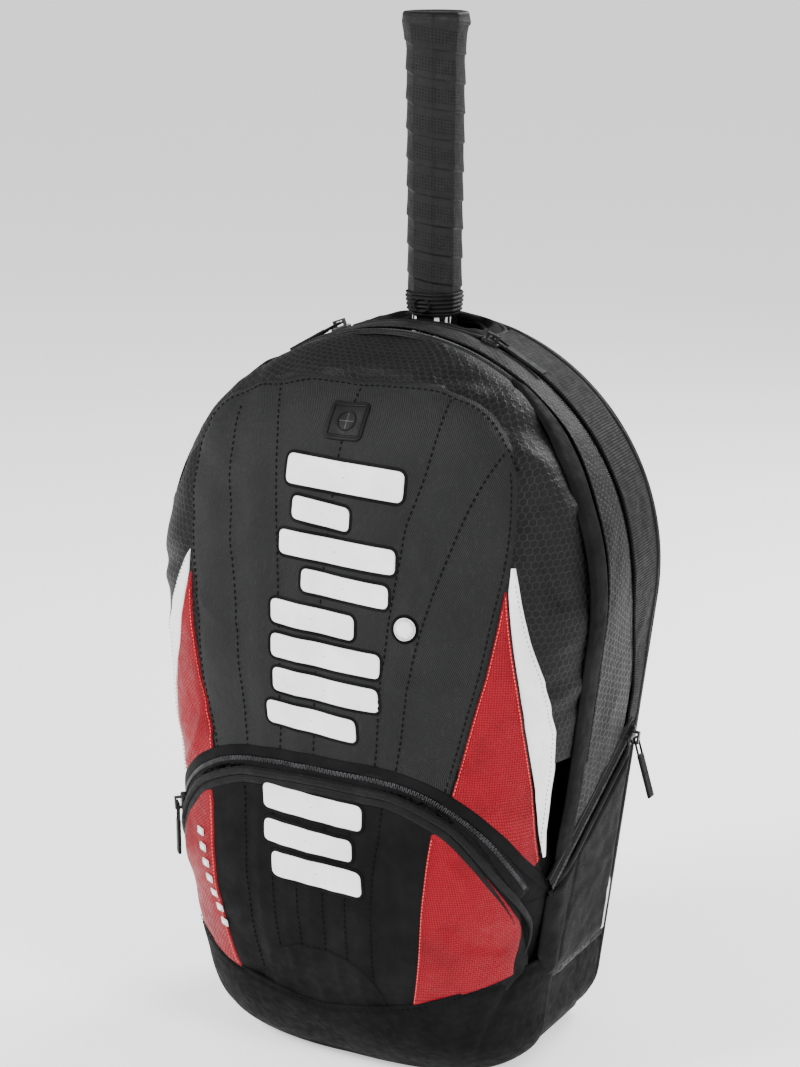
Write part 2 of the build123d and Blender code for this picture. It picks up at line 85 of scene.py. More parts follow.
def half_width(z):
    """Half the bag's width at each height."""
    z = np.asarray(z, float)
    top_join = SHOULDER_Z + SHOULDER_R * math.sin(LEAN)
    low_join = BASE_R + BASE_R * math.sin(LEAN)
    round_top = np.sqrt(np.clip(SHOULDER_R**2 - (z - SHOULDER_Z) ** 2, 1, None))
    round_low = BASE_X + np.sqrt(np.clip(BASE_R**2 - (BASE_R - z) ** 2, 0, None))
    low_x, top_x = BASE_X + BASE_R * math.cos(LEAN), SHOULDER_R * math.cos(LEAN)
    side = low_x + (top_x - low_x) * (z - low_join) / (top_join - low_join)
    return np.where(z >= top_join, round_top, np.where(z <= low_join, round_low, side))


# ---------------------------------------------------------------- small tools
def bumps(u, v, scale_u, scale_v, seed):
    """Smooth random hills, about -1 to 1, of a stated size each way."""
    size = 64
    grid = np.random.default_rng(seed).uniform(-1, 1, (size, size))
    a, b = np.asarray(u, float) / scale_u + 500.3, np.asarray(v, float) / scale_v + 500.7
    i, j = np.floor(a).astype(int), np.floor(b).astype(int)
    s, t = a - i, b - j
    s, t = s * s * (3 - 2 * s), t * t * (3 - 2 * t)

    def corner(p, q):
        return grid[p % size, q % size]

    low = corner(i, j) * (1 - s) + corner(i + 1, j) * s
    high = corner(i, j + 1) * (1 - s) + corner(i + 1, j + 1) * s
    return low * (1 - t) + high * t


def turned(u, v, degrees):
    c, s = math.cos(math.radians(degrees)), math.sin(math.radians(degrees))
    return u * c + v * s, -u * s + v * c


def unit(v):
    return v / np.clip(np.linalg.norm(v, axis=-1, keepdims=True), 1e-9, None)


def ramp(value, length):
    """0 below 0, 1 above a length, straight between."""
    return np.clip(value / length, 0, 1)


def ridge(value, width):
    """1 at 0, fading smoothly over a width."""
    return np.exp(-((value / width) ** 2))


def circle(count, start=0.0):
    return start + np.linspace(0, 2 * math.pi, count, endpoint=False)


def run_of(path):
    """Length along a path at each of its points."""
    return np.r_[0, np.cumsum(np.linalg.norm(np.diff(path, axis=0), axis=1))]


def read_at(at, run, rows):
    """A table's rows, read at other runs."""
    return np.stack([np.interp(at, run, column) for column in rows.T], axis=-1)


def smooth_path(points, step=2.0):
    """A dense smooth line through a few points, evenly spaced."""
    p = np.array(points, float)
    if len(p) > 2:
        q = np.vstack([2 * p[0] - p[1], p, 2 * p[-1] - p[-2]])
        t = np.linspace(0, 1, 24, endpoint=False)[:, None]
        out = []
        for a, b, c, d in zip(q, q[1:], q[2:], q[3:]):
            square, cube = 2 * a - 5 * b + 4 * c - d, 3 * b - a - 3 * c + d
            out.append(0.5 * (2 * b + (c - a) * t + square * t**2 + cube * t**3))
        p = np.vstack([*out, p[-1:]])
    run = run_of(p)
    return read_at(np.linspace(0, run[-1], max(int(run[-1] / step), 2) + 1), run, p)


def shifted(path, distance):
    """A flat path moved sideways, to its left when distance is positive."""
    t = unit(np.gradient(path, axis=0))
    return path + distance * np.stack([-t[:, 1], t[:, 0]], axis=1)


def distance_to(u, v, path):
    """Distance of each point to a polyline."""
    u, v = np.asarray(u, float), np.asarray(v, float)
    best = np.full(u.shape, 1e9)
    for a, b in zip(path[:-1], path[1:]):
        d = b - a
        k = np.clip(((u - a[0]) * d[0] + (v - a[1]) * d[1]) / max(d @ d, 1e-9), 0, 1)
        best = np.minimum(best, np.hypot(u - a[0] - k * d[0], v - a[1] - k * d[1]))
    return best


def both_sides(points):
    """A right-hand outline, read from the middle outwards, with its mirror image before it."""
    return [(-x, z) for x, z in points[::-1]] + [p for p in points if p[0] > 0]


def mirror_line(f):
    return lambda z: -f(z)


def straight(zs, xs):
    return lambda z: np.interp(z, zs, xs)


def closed(outline, again=2):
    """A ring with its first points again after its last."""
    return np.vstack([outline, outline[:again]])


# ---------------------------------------------------------------- seams of the front, as (x, z)
ARCH_PATH = smooth_path(both_sides(ARCH))
ARCH_HALF = ARCH_PATH[len(ARCH_PATH) // 2:]
SHIELD_RIGHT = hermite(
    [190, 215, 260, 305, 340, 375, 409, 435, 461, 471, 477, 480.5, 482],
    [84, 91, 102, 113, 119, 124, 123, 117, 101, 88, 73, 57, 45],
)
SHIELD_LEFT = hermite(
    [190, 221, 265, 329, 355, 393, 410, 431, 451, 463, 474, 479, 481, 482],
    [-78, -84, -98, -106, -111, -118, -121, -122, -117, -104, -78, -54, -42, -36],
)
TOPSTITCH = [
    [(0, 482), (-1, 400), (-3, 300), (-4, 232)],
    [(-91, 462), (-82, 400), (-70, 335), (-60, 262), (-56, 228)],
    [(-64, 479), (-50, 441), (-38, 367), (-31, 300), (-30, 232)],
    [(66, 479), (64, 435), (55, 390), (46, 300), (42, 234)],
    [(110, 449), (97, 417), (82, 368), (69, 320), (60, 259), (57, 232)],
]
POCKET_CHANNELS = [[(x, 213), (x * 0.9, 150), (x * 0.82, 66)] for x in (-57, -33, -12, 10, 29, 50)]
QUILT_LINES = [smooth_path(p, 6.0) for p in TOPSTITCH + POCKET_CHANNELS]
BOOT_TOP = smooth_path(both_sides([(0, 57), (25, 60), (67, 69), (100, 82), (124, 92)]))
OVAL = smooth_path([(-49, 64), (-36, 88), (-18, 100), (0, 103), (18, 100), (36, 88), (49, 64)])
# creases of the front: a line, its height (a valley when negative) and its width
CREASES = [
    (smooth_path(points, 6.0), high, wide)
    for points, high, wide in (
        ([(92, 478), (112, 468), (132, 452)], 2.6, 4.2),
        ([(104, 462), (122, 452), (144, 424)], -2.3, 3.4),
        ([(112, 447), (128, 436), (146, 408)], 2.2, 3.8),
        ([(126, 400), (138, 388), (152, 352)], -1.9, 3.8),
        ([(124, 372), (140, 352), (152, 322)], 1.9, 4.2),
        ([(-96, 474), (-118, 458), (-136, 436)], 2.3, 4.2),
        ([(-118, 440), (-134, 424), (-148, 392)], -2.0, 3.8),
        ([(-30, 486), (0, 490), (34, 487)], 1.9, 3.4),
        ([(52, 486), (70, 486), (92, 479)], -1.9, 3.1),
        ([(30, 420), (60, 396), (84, 350)], 1.4, 6.0),
        ([(50, 300), (72, 290), (96, 296)], 1.4, 5.1),
        ([(-100, 330), (-80, 318), (-64, 322)], 1.2, 5.1),
        ([(96, 176), (106, 160), (112, 134)], 1.7, 4.2),
        ([(92, 132), (104, 118), (118, 112)], -1.6, 3.4),
        ([(104, 250), (112, 228), (126, 204)], 1.7, 3.8),
        ([(-98, 250), (-106, 226), (-118, 208)], 1.6, 3.8),
        ([(50, 190), (62, 160), (64, 120)], -1.4, 4.2),
    )
]


def front_relief(x, z):
    """How far the stuffed cloth stands in or out of the plain shape."""
    near = np.full(np.shape(x), 1e9)
    for line in QUILT_LINES:
        near = np.minimum(near, distance_to(x, z, line))
    edge = np.minimum(np.abs(x - SHIELD_RIGHT(z)), np.abs(x - SHIELD_LEFT(z)))
    edge = np.where((z > 235) & (z < 480), edge, 60)
    quilt = np.where(z > 40, 1.5 * (1 - ridge(near, 11)) - 1.1, 0.4)
    a, b = turned(x, z, 28)
    c, d = turned(x, z, -38)
    soft = 1.5 * bumps(x, z, 58, 70, 3) + 0.9 * bumps(a, b, 64, 19, 5) + 0.8 * bumps(c, d, 58, 17, 7)
    fine = 0.22 * bumps(x, z, 12, 16, 9)
    folds = ramp(np.abs(x) - 95, 45) * 1.1 * bumps(a, b, 46, 10, 11) * ramp(z - 235, 40)
    lip = 1.6 * ridge(distance_to(x, z, shifted(ARCH_PATH, -17.0)[::4]), 9)
    pull = np.zeros(np.shape(x))
    for line, high, wide in CREASES:
        pull = pull + high * ridge(distance_to(x, z, line), wide)
    return quilt - 1.5 * ridge(edge, 4.5) + soft + fine + folds + lip + pull


def dome(value):
    """The front's plan curve: from 1 at the middle to 0 at the side seam."""
    return np.clip(1 - value**DOME_POWER, 0, 1) ** (1 / DOME_POWER)


def front_base(a, z):
    """The plain domed front at plan angle a and height z."""
    s = np.sin(a)
    y = RIM_Y - (RIM_Y + front_depth(z)) * dome(np.abs(s))
    return np.stack([half_width(z) * s, y, z + 0 * a], axis=-1)


def front_frame(x, z):
    """Points and outward directions of the front at (x, z)."""
    x, z = np.asarray(x, float), np.asarray(z, float)
    a = np.arcsin(np.clip(x / half_width(z), -0.9995, 0.9995))
    da, dz = 0.01, 0.6
    du = front_base(a + da, z) - front_base(a - da, z)
    dv = front_base(a, np.clip(z + dz, 0, 507)) - front_base(a, z - dz)
    return front_base(a, z), unit(np.cross(du, dv))


def on_front(x, z, lift=0.0):
    """A point on the stuffed front cloth, lifted off it."""
    p, n = front_frame(x, z)
    height = front_relief(x, z) * ramp(half_width(z) - np.abs(x), 10)
    return p + n * (height + lift)[..., None]


# ---------------------------------------------------------------- gusset chart: s runs right side, top, left side
SIDE_ZIP_LINE = np.array([(-30.0, 148.0), (80.0, 232.0)])
RACKET_Y = hermite(
    [0, 236, 268, 284, 300, 328, 345, 358, 372, 430, 508],
    [66, 66, 66, 62, 56, 46, 42, 40.4, 40, 40, 40],
)
MAIN_Y = hermite([0, 228, 390, 404, 428, 452, 470, 508], [0, 0, 0, 1, 6, 11, 12, 12])


def gusset_line():
    z = np.linspace(2.0, SHOULDER_Z + SHOULDER_R * math.sin(LEAN), 170)
    right = np.stack([half_width(z), z], axis=1)
    turn = np.linspace(LEAN, math.pi - LEAN, 330)[1:-1]
    arc = np.stack([SHOULDER_R * np.cos(turn), SHOULDER_Z + SHOULDER_R * np.sin(turn)], axis=1)
    return np.vstack([right, arc, right[::-1] * [-1, 1]])


G_LINE = gusset_line()
G_RUN = run_of(G_LINE)
G_OUT = unit(np.gradient(G_LINE, G_RUN, axis=0)) @ np.array([[0, -1], [1, 0]])
G_END = G_RUN[-1]


def at_gusset(s):
    """Outline point (x, z) and outward direction at run s."""
    return read_at(s, G_RUN, G_LINE), unit(read_at(s, G_RUN, G_OUT))


def height_at(s):
    return at_gusset(s)[0][:, 1]


def run_at(z, side=1):
    """Run of the outline point at a height, on the right (1) or left (-1) side."""
    half = len(G_LINE) // 2
    s = np.interp(z, G_LINE[:half, 1], G_RUN[:half])
    return s if side > 0 else G_END - s


def runs_above(z, count):
    """Even runs from a height on the right, over the top, to that height on the left."""
    return np.linspace(run_at(z, 1), run_at(z, -1), count)


def on_gusset(s, y, lift=0.0, relief=True):
    """A point on the side or top cloth at run s and depth y."""
    s, y = np.broadcast_arrays(np.asarray(s, float), np.asarray(y, float))
    p, n = at_gusset(s)
    wave = 0.0
    if relief:
        a, b = turned(s, y, 24)
        wave = 0.7 * bumps(s, y, 70, 30, 21) + 0.35 * bumps(a, b, 34, 9, 23) + 0.2 * bumps(s, y, 12, 10, 25)
        wave = wave * ramp(p[..., 1], 60)
        off_zip = distance_to(y, p[..., 1], SIDE_ZIP_LINE)
        wave = np.where(off_zip < 16, np.minimum(wave, -1.4 + off_zip / 6), wave)
    h = lift + wave
    return np.stack([p[..., 0] + n[..., 0] * h, y + 0 * s, p[..., 1] + n[..., 1] * h], axis=-1)


# ---------------------------------------------------------------- mesh making
def grid_uv(P):
    """Lengths along a grid, so that a weave keeps its size."""
    du = np.linalg.norm(np.diff(P, axis=1), axis=2)
    dv = np.linalg.norm(np.diff(P, axis=0), axis=2)
    u = np.concatenate([np.zeros((P.shape[0], 1)), np.cumsum(du, axis=1)], axis=1)
    v = np.concatenate([np.zeros((1, P.shape[1])), np.cumsum(dv, axis=0)], axis=0)
    u = u - u[:, u.shape[1] // 2][:, None]
    v = np.repeat(v.mean(axis=1)[:, None], P.shape[1], axis=1)
    return np.stack([u, v], axis=-1)


def new_object(name, verts, faces, mat, uv):
    mesh = bpy.data.meshes.new(name)
    mesh.from_pydata((np.asarray(verts, float) * 0.001).tolist(), [], faces)
    mesh.update()
    layer = mesh.uv_layers.new(name="UVMap")
    loops = np.empty(len(mesh.loops), int)
    mesh.loops.foreach_get("vertex_index", loops)
    layer.data.foreach_set("uv", (np.asarray(uv, float)[loops] * 0.001).ravel().astype(np.float32))
    mesh.polygons.foreach_set("use_smooth", [True] * len(mesh.polygons))
    obj = bpy.data.objects.new(name, mesh)
    bpy.context.collection.objects.link(obj)
    obj.data.materials.append(mat)
    return obj


def grid_faces(n, m, start=0, wrap=False, flip=False):
    i, j = np.meshgrid(np.arange(n - 1), np.arange(m if wrap else m - 1), indexing="ij")
    k = (j + 1) % m
    f = np.stack([i * m + j, i * m + k, (i + 1) * m + k, (i + 1) * m + j], axis=-1).reshape(-1, 4) + start
    return (f[:, ::-1] if flip else f).tolist()


class Batch:
    """Collects many small shapes into one mesh."""

    def __init__(self):
        self.v, self.f, self.uv, self.n = [], [], [], 0

    def grid(self, P, wrap=True, flip=False, uv=None):
        n, m = P.shape[:2]
        self.v.append(P.reshape(-1, 3))
        self.uv.append((grid_uv(P) if uv is None else uv).reshape(-1, 2))
        self.f += grid_faces(n, m, self.n, wrap, flip)
        self.n += n * m

    def cap(self, ring, flip=False):
        """Closes a ring that was just added."""
        self.f.append(list(ring)[::-1] if flip else list(ring))

    def done(self, name, mat):
        return new_object(name, np.vstack(self.v), self.f, mat, np.vstack(self.uv))


def cloth(name, P, mat, thick=0.0, flip=False):
    """A cloth from a grid of points, with a lining and a turned edge when it has a thickness."""
    n, m = P.shape[:2]
    uv = grid_uv(P).reshape(-1, 2)
    if not thick:
        return new_object(name, P.reshape(-1, 3), grid_faces(n, m, flip=flip), mat, uv)
    N = unit(np.cross(np.gradient(P, axis=1), np.gradient(P, axis=0)))
    inner = P - (-N if flip else N) * thick
    faces = grid_faces(n, m, flip=flip) + grid_faces(n, m, n * m, flip=not flip)
    first, last = np.arange(m), (n - 1) * m + np.arange(m - 2, -1, -1)
    rim = np.r_[first, np.arange(1, n) * m + m - 1, last, np.arange(n - 2, 0, -1) * m]
    after = np.roll(rim, -1)
    side = np.stack([rim, rim + n * m, after + n * m, after], axis=1)
    faces += (side[:, ::-1] if flip else side).tolist()
    verts = np.vstack([P.reshape(-1, 3), inner.reshape(-1, 3)])
    return new_object(name, verts, faces, mat, np.vstack([uv, uv]))


def mark(obj, slot, *nodes):
    """Hides the CAD nodes that the piece stands for; the piece itself and its slot are not used."""
    if nodes:
        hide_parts(*nodes)


def put(obj, body, slot, *nodes):
    """The piece rides on a body."""
    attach(obj, body)
    mark(obj, slot, *nodes)


def bend(obj, body, slot, *nodes):
    """Bakes the piece's place into its mesh and hides its CAD nodes; the body is not used, so the piece does not turn
    with a folding part.
    """
    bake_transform(obj)
    mark(obj, slot, *nodes)


def sweep(path, normals, profile):
    """Points of a section swept along a path; the section is (across, outward) in millimetres."""
    path, normals, profile = (np.asarray(item, float) for item in (path, normals, profile))
    t = unit(np.gradient(path, axis=0))
    normals = unit(normals - (normals * t).sum(1, keepdims=True) * t)
    across = np.cross(t, normals)
    return path[:, None] + across[:, None] * profile[None, :, :1] + normals[:, None] * profile[None, :, 1:]


def tube(path, normals, rx, ry, sides=10):
    a = circle(sides)
    return sweep(path, normals, np.stack([rx * np.cos(a), ry * np.sin(a)], axis=1))


def cord(name, body, *tubes):
    """Piping made of one or more tubes; each is (path, normals, rx, ry)."""
    batch = Batch()
    for item in tubes:
        batch.grid(tube(*item))
    put(batch.done(name, PIPING), body, "webbing")


def band(name, path, normals, section, mat, thick=0.0):
    """A flat strip swept along a path."""
    return cloth(name, sweep(path, normals, section).transpose(1, 0, 2), mat, thick)


def frames_along(path, normals, pitch, first, last):
    """Centre, direction, outward and sideways at even steps of a path."""
    run, t = run_of(path), unit(np.gradient(path, axis=0))
    normals = np.broadcast_to(normals, path.shape)
    for s in np.arange(first, run[-1] - last, pitch):
        d, n = unit(read_at(s, run, t)), unit(read_at(s, run, normals))
        yield read_at(s, run, path), d, n, np.cross(d, n)


SIX = circle(6)[:, None]  # directions round a stitch or a tooth


def stitch_row(batch, path, normals, pitch=4.2, length=2.7, radius=0.42, lift=0.25):
    """Thread along a path: one small raised capsule for each stitch."""
    shape = [(-0.5, 0.25, -0.9), (-0.36, 0.85, -0.1), (0, 1.0, 0.25), (0.36, 0.85, -0.1), (0.5, 0.25, -0.9)]
    for c, d, n, w in frames_along(path, normals, pitch, pitch / 2, pitch / 3):
        rings = []
        for along, size, high in shape:
            centre = c + d * along * length + n * (lift + high * radius)
            rings.append(centre + (w * np.cos(SIX) + n * np.sin(SIX)) * radius * size)
        batch.grid(np.array(rings))


def coil(name, path, normals, pitch=1.5, width=3.6, lift=1.0):
    """The teeth of a coil zip: a rounded bar for each turn, leaning to and fro."""
    batch = Batch()
    for k, (c, d, n, w) in enumerate(frames_along(path, normals, pitch, 0.4, 0.4)):
        bar = unit(w + d * (0.12 if k % 2 else -0.12))
        rings = []
        for along, size in ((-0.5, 0.3), (-0.42, 0.9), (0, 1.0), (0.42, 0.9), (0.5, 0.3)):
            centre = c + bar * along * width + n * lift
            rings.append(centre + (d * np.cos(SIX) * 0.52 + n * np.sin(SIX) * 0.62) * size)
        batch.grid(np.array(rings))
    put(batch.done(name, TEETH), "bag", "zip_coil")


def front_path(path, lift=0.0):
    """A flat path laid on the front cloth, with its outward directions."""
    return on_front(path[:, 0], path[:, 1], lift), front_frame(path[:, 0], path[:, 1])[1]


def gusset_path(s, y, lift=0.0, relief=True):
    """A path on the gusset cloth, with its outward directions."""
    n = at_gusset(s)[1]
    return on_gusset(s, y, lift, relief), np.stack([n[:, 0], 0 * n[:, 0], n[:, 1]], axis=1)


# ---------------------------------------------------------------- procedural finishes
def grey(value, blue):
    return (value, value, blue)


def tint(colour, factor):
    return tuple(c * factor for c in colour)


class Finish:
    """One procedural material. Its coordinates are millimetres."""

    def __init__(self, name):
        self.mat = bpy.data.materials.new(name)
        self.mat.use_nodes = True
        self.tree = self.mat.node_tree
        self.tree.nodes.clear()
        self.shader = self.tree.nodes.new("ShaderNodeBsdfPrincipled")
        out = self.tree.nodes.new("ShaderNodeOutputMaterial")
        self.tree.links.new(self.shader.outputs[0], out.inputs[0])
        place = self.tree.nodes.new("ShaderNodeTexCoord")
        uv = self.scaled(place.outputs["UV"], 1000)
        self.xyz = self.scaled(place.outputs["Object"], 1000)
        self.u, self.v, _ = self.parts(uv)
        self.x, _, self.z = self.parts(self.xyz)

    def put(self, socket, value):
        if isinstance(value, bpy.types.NodeSocket):
            self.tree.links.new(value, socket)
        elif isinstance(value, (tuple, list)) and socket.type == "RGBA":
            socket.default_value = (*value[:3], 1)
        else:
            socket.default_value = value

    def node(self, kind, *values, **settings):
        """A node with its first inputs filled in order."""
        n = self.tree.nodes.new(f"ShaderNode{kind}")
        for key, value in settings.items():
            setattr(n, key, value)
        for socket, value in zip(n.inputs, values):
            self.put(socket, value)
        return n

    def math(self, op, a, b=0.0, c=0.0):
        return self.node("Math", a, b, c, operation=op).outputs[0]

    def add(self, a, b):
        return self.math("ADD", a, b)

    def sub(self, a, b):
        return self.math("SUBTRACT", a, b)

    def mul(self, a, b):
        return self.math("MULTIPLY", a, b)

    def wave(self, a, period):
        """A sine from 0 to 1 with that period."""
        phase = self.math("MULTIPLY_ADD", a, 2 * math.pi / period)
        return self.math("MULTIPLY_ADD", self.math("SINE", phase), 0.5, 0.5)

    def scaled(self, vector, factor):
        n = self.node("VectorMath", vector, operation="SCALE")
        n.inputs["Scale"].default_value = factor
        return n.outputs[0]

    def parts(self, vector):
        return self.node("SeparateXYZ", vector).outputs

    def noise(self, size, detail=3.0, stretch=(1, 1, 1)):
        """Cloudy values about 0.5, with features of that size."""
        factors = tuple(1 / (size * k) for k in stretch)
        n = self.node("TexNoise", self.node("VectorMath", self.xyz, factors, operation="MULTIPLY").outputs[0])
        n.inputs["Scale"].default_value = 1.0
        n.inputs["Detail"].default_value = detail
        return n.outputs[0]

    def step(self, value, low, high, to_low=0.0, to_high=1.0):
        return self.node("MapRange", value, low, high, to_low, to_high, interpolation_type="SMOOTHSTEP").outputs[0]

    def mix(self, factor, a, b):
        n = self.node("Mix", factor, data_type="RGBA")
        self.put(n.inputs[6], a)
        self.put(n.inputs[7], b)
        return n.outputs[2]

    def cloud(self, size, detail, low, high, to_low=0.0, to_high=1.0):
        return self.step(self.noise(size, detail), low, high, to_low, to_high)

    def bump(self, height, depth, normal=None):
        """Relief whose height is 0 to 1 over a depth in millimetres."""
        n = self.node("Bump")
        n.inputs["Strength"].default_value = 1.0
        n.inputs["Distance"].default_value = depth * 0.001
        self.put(n.inputs["Height"], height)
        if normal:
            self.put(n.inputs["Normal"], normal)
        return n.outputs[0]

    def slack(self, wide, fine, shares, depth):
        """Soft creases of two sizes; each size is (millimetres, detail)."""
        hills = [self.mul(self.noise(*size), share) for size, share in zip((wide, fine), shares)]
        return self.bump(self.add(*hills), depth)

    def hexes(self, u, v, size):
        """0 at the middle of each honeycomb cell and 0.5 on its edges."""
        ratio = math.sqrt(3)
        au, av = self.mul(u, 1 / size), self.mul(v, 1 / size)

        def cell(da, db):
            p = self.sub(self.math("FLOORED_MODULO", self.add(au, da), 1.0), 0.5)
            q = self.sub(self.math("FLOORED_MODULO", self.add(av, db), ratio), ratio / 2)
            p, q = self.math("ABSOLUTE", p), self.math("ABSOLUTE", q)
            return self.math("MAXIMUM", self.add(self.mul(p, 0.5), self.mul(q, ratio / 2)), p)

        return self.math("MINIMUM", cell(0, 0), cell(0.5, ratio / 2))

    def done(self, colour, rough, normal=None, **fixed):
        self.put(self.shader.inputs["Base Color"], colour)
        self.put(self.shader.inputs["Roughness"], rough)
        if normal:
            self.put(self.shader.inputs["Normal"], normal)
        for key, value in fixed.items():
            self.put(self.shader.inputs[key.replace("_", " ")], value)
        return self.mat


def plain_weave(m, pitch):
    over, under = m.wave(m.u, pitch), m.wave(m.v, pitch)
    return m.math("MAXIMUM", m.mul(over, m.sub(1, under)), m.mul(under, m.sub(1, over)))


def make_cloth(name, dark, light, rough=0.62, pitch=0.9, sheen=0.0, crease=0.5):
    """Plain nylon cloth: fine weave, slack creases, a painted highlight on the weave's high spots."""
    m = Finish(name)
    weave = plain_weave(m, pitch)
    normal = m.bump(weave, 0.12, m.slack((16, 4), (3.2, 3), (0.7, 0.3), crease * 2.2))
    colour = m.mix(m.cloud(34, 5, 0.35, 0.7), dark, light)
    # painted highlight: the raised threads of the weave are drawn lighter, up to 1.7 times the light tone
    colour = m.mix(m.mul(weave, 0.35), colour, tint(light, 1.7))
    return m.done(colour, m.cloud(9, 3, 0.2, 0.8, rough - 0.08, rough + 0.1), normal,
                  Sheen_Weight=sheen, Sheen_Roughness=0.4, Specular_IOR_Level=0.06)


def make_twill(name, dark, light, pitch=1.4, rough=0.5):
    """Twill: fine slanting ribs, each rib broken into yarns."""
    m = Finish(name)
    rib = m.wave(m.add(m.u, m.mul(m.v, 0.62)), pitch)
    yarn = m.wave(m.sub(m.v, m.mul(m.u, 0.3)), pitch * 0.62)
    height = m.mul(m.math("POWER", rib, 0.8), m.add(m.mul(yarn, 0.35), 0.65))
    slub = m.noise(2.2, 3, stretch=(1, 1, 3))
    # painted shade and highlight: the rib valleys are drawn dark and the rib tops light
    colour = m.mix(m.step(height, 0.15, 0.85), dark, light)
    colour = m.mix(m.step(slub, 0.52, 0.75, 0, 0.35), colour, tint(light, 1.5))
    colour = m.mix(m.cloud(55, 4, 0.4, 0.75, 0, 0.3), colour, tint(dark, 0.7))
    normal = m.bump(height, 0.2, m.slack((13, 4), (3, 2), (0.6, 0.3), 1.3))
    return m.done(colour, m.step(slub, 0.3, 0.7, rough, rough + 0.1), normal, Specular_IOR_Level=0.14)


def make_ripstop(name, dark, light, cell=5.2):
    """Honeycomb ripstop: shiny raised threads round dull cells."""
    m = Finish(name)
    drift = m.mul(m.sub(m.noise(9, 2), 0.5), 0.9)
    edge = m.step(m.hexes(m.add(m.u, drift), m.v, cell), 0.37, 0.47)
    weave = plain_weave(m, 0.7)
    # painted sheen: the raised honeycomb threads are drawn light; painted shade: the weave's low spots are drawn
    # darker
    colour = m.mix(edge, m.mix(weave, tint(dark, 0.75), dark), light)
    colour = m.mix(m.cloud(40, 4, 0.4, 0.8, 0, 0.4), colour, tint(dark, 1.3))
    normal = m.slack((19, 4), (4, 3), (0.75, 0.25), 2.6)
    normal = m.bump(m.add(edge, m.mul(weave, 0.2)), 0.22, normal)
    return m.done(colour, m.step(edge, 0, 1, 0.58, 0.42), normal, Specular_IOR_Level=0.17)


def make_basket(name, dark, light, pitch=1.7):
    """Shiny nylon in a basket weave: pairs of yarns crossing over and under."""
    m = Finish(name)
    a, b = m.mul(m.u, 1 / pitch), m.mul(m.v, 1 / pitch)
    check = m.math("FLOORED_MODULO", m.add(m.math("FLOOR", a), m.math("FLOOR", b)), 2.0)

    def yarns(over, along):
        arch = m.wave(m.sub(over, pitch / 4), pitch)
        return m.mul(arch, m.add(m.mul(m.wave(along, pitch / 3), 0.35), 0.65))

    height = m.add(m.mul(yarns(m.u, m.v), check), m.mul(yarns(m.v, m.u), m.sub(1, check)))
    # painted shade and highlight: the low parts of the yarns are drawn dark and their arched tops light
    colour = m.mix(m.step(height, 0.1, 0.8), dark, light)
    colour = m.mix(m.cloud(26, 4, 0.45, 0.75, 0, 0.45), colour, tint(dark, 0.75))
    normal = m.bump(height, 0.3, m.slack((11, 4), (2.6, 3), (0.7, 0.3), 2.6))
    return m.done(colour, m.cloud(7, 3, 0.3, 0.7, 0.36, 0.5), normal, Specular_IOR_Level=0.14)


def make_coated(name, dark, light, rough, grain=0.09, crease=0.7, dirt=None, shine=0.15):
    """Coated cloth or leatherette: fine pebble grain over soft creases."""
    m = Finish(name)
    pebble = m.node("TexVoronoi", m.scaled(m.xyz, 1 / 1.1))
    pebble.inputs["Scale"].default_value = 1.0
    normal = m.slack((18, 4), (4, 3), (0.75, 0.25), crease * 2.4)
    normal = m.bump(pebble.outputs["Distance"], grain, normal)
    colour = m.mix(m.cloud(30, 5, 0.35, 0.7), dark, light)
    if dirt:
        colour = m.mix(m.cloud(7, 6, 0.56, 0.8, 0, 0.5), colour, dirt)
    return m.done(colour, m.cloud(6, 4, 0.25, 0.75, rough - 0.07, rough + 0.12), normal, Specular_IOR_Level=shine)


def make_ribbed(name, dark, light, pitch, along="u", depth=0.4, rough=0.6, sheen=0.25):
    """Ribbed cloth, webbing or tape."""
    m = Finish(name)
    main, other = (m.u, m.v) if along == "u" else (m.v, m.u)
    pick = m.wave(m.add(other, m.mul(main, 0.5)), pitch * 0.6)
    height = m.mul(m.wave(main, pitch), m.add(m.mul(pick, 0.45), 0.55))
    # painted shade and highlight: the grooves between ribs are drawn dark and the rib tops light
    colour = m.mix(m.step(height, 0.1, 0.8), dark, light)
    colour = m.mix(m.cloud(24, 4, 0.45, 0.75, 0, 0.4), colour, tint(light, 1.5))
    normal = m.bump(height, depth, m.bump(m.noise(15, 4), 1.4))
    return m.done(colour, m.cloud(5, 2, 0.3, 0.7, rough - 0.05, rough + 0.1), normal,
                  Sheen_Weight=sheen, Sheen_Roughness=0.4, Specular_IOR_Level=0.08)


def make_mesh_cloth(name, dark, light, cell=3.4):
    """Spacer mesh: round openings in a raised net."""
    m = Finish(name)
    net = m.step(m.hexes(m.x, m.z, cell), 0.24, 0.36)
    fibre = m.wave(m.add(m.x, m.mul(m.z, 0.6)), 0.8)
    # painted shade: the net's openings are drawn at a third of the dark tone; painted highlight: the fibre ridges are
    # drawn lighter
    colour = m.mix(net, tint(dark, 0.35), m.mix(fibre, dark, light))
    normal = m.bump(m.add(net, m.mul(fibre, 0.12)), 0.7, m.bump(m.noise(20, 3), 1.2))
    return m.done(colour, m.cloud(8, 3, 0.3, 0.7, 0.66, 0.82), normal,
                  Sheen_Weight=0.08, Sheen_Roughness=0.5, Specular_IOR_Level=0.25)


def make_hard(name, dark, light, rough, metal=0.0, grain=0.05, coat=0.0, wear=None, shine=0.3):
    """Moulded or painted hard parts: fine grain, cloudy gloss, worn high spots."""
    m = Finish(name)
    colour = m.mix(m.cloud(8, 5, 0.35, 0.7), dark, light)
    if wear:
        colour = m.mix(m.cloud(1.6, 6, 0.6, 0.78, 0, 0.7), colour, wear)
    normal = m.bump(m.add(m.noise(0.7, 2), m.mul(m.noise(6, 2), 0.5)), grain)
    return m.done(colour, m.cloud(4, 4, 0.25, 0.75, rough - 0.06, rough + 0.1), normal,
                  Metallic=metal, Coat_Weight=coat, Coat_Roughness=0.08, Specular_IOR_Level=shine)


WRAP = 19.5  # width of one turn of the overgrip


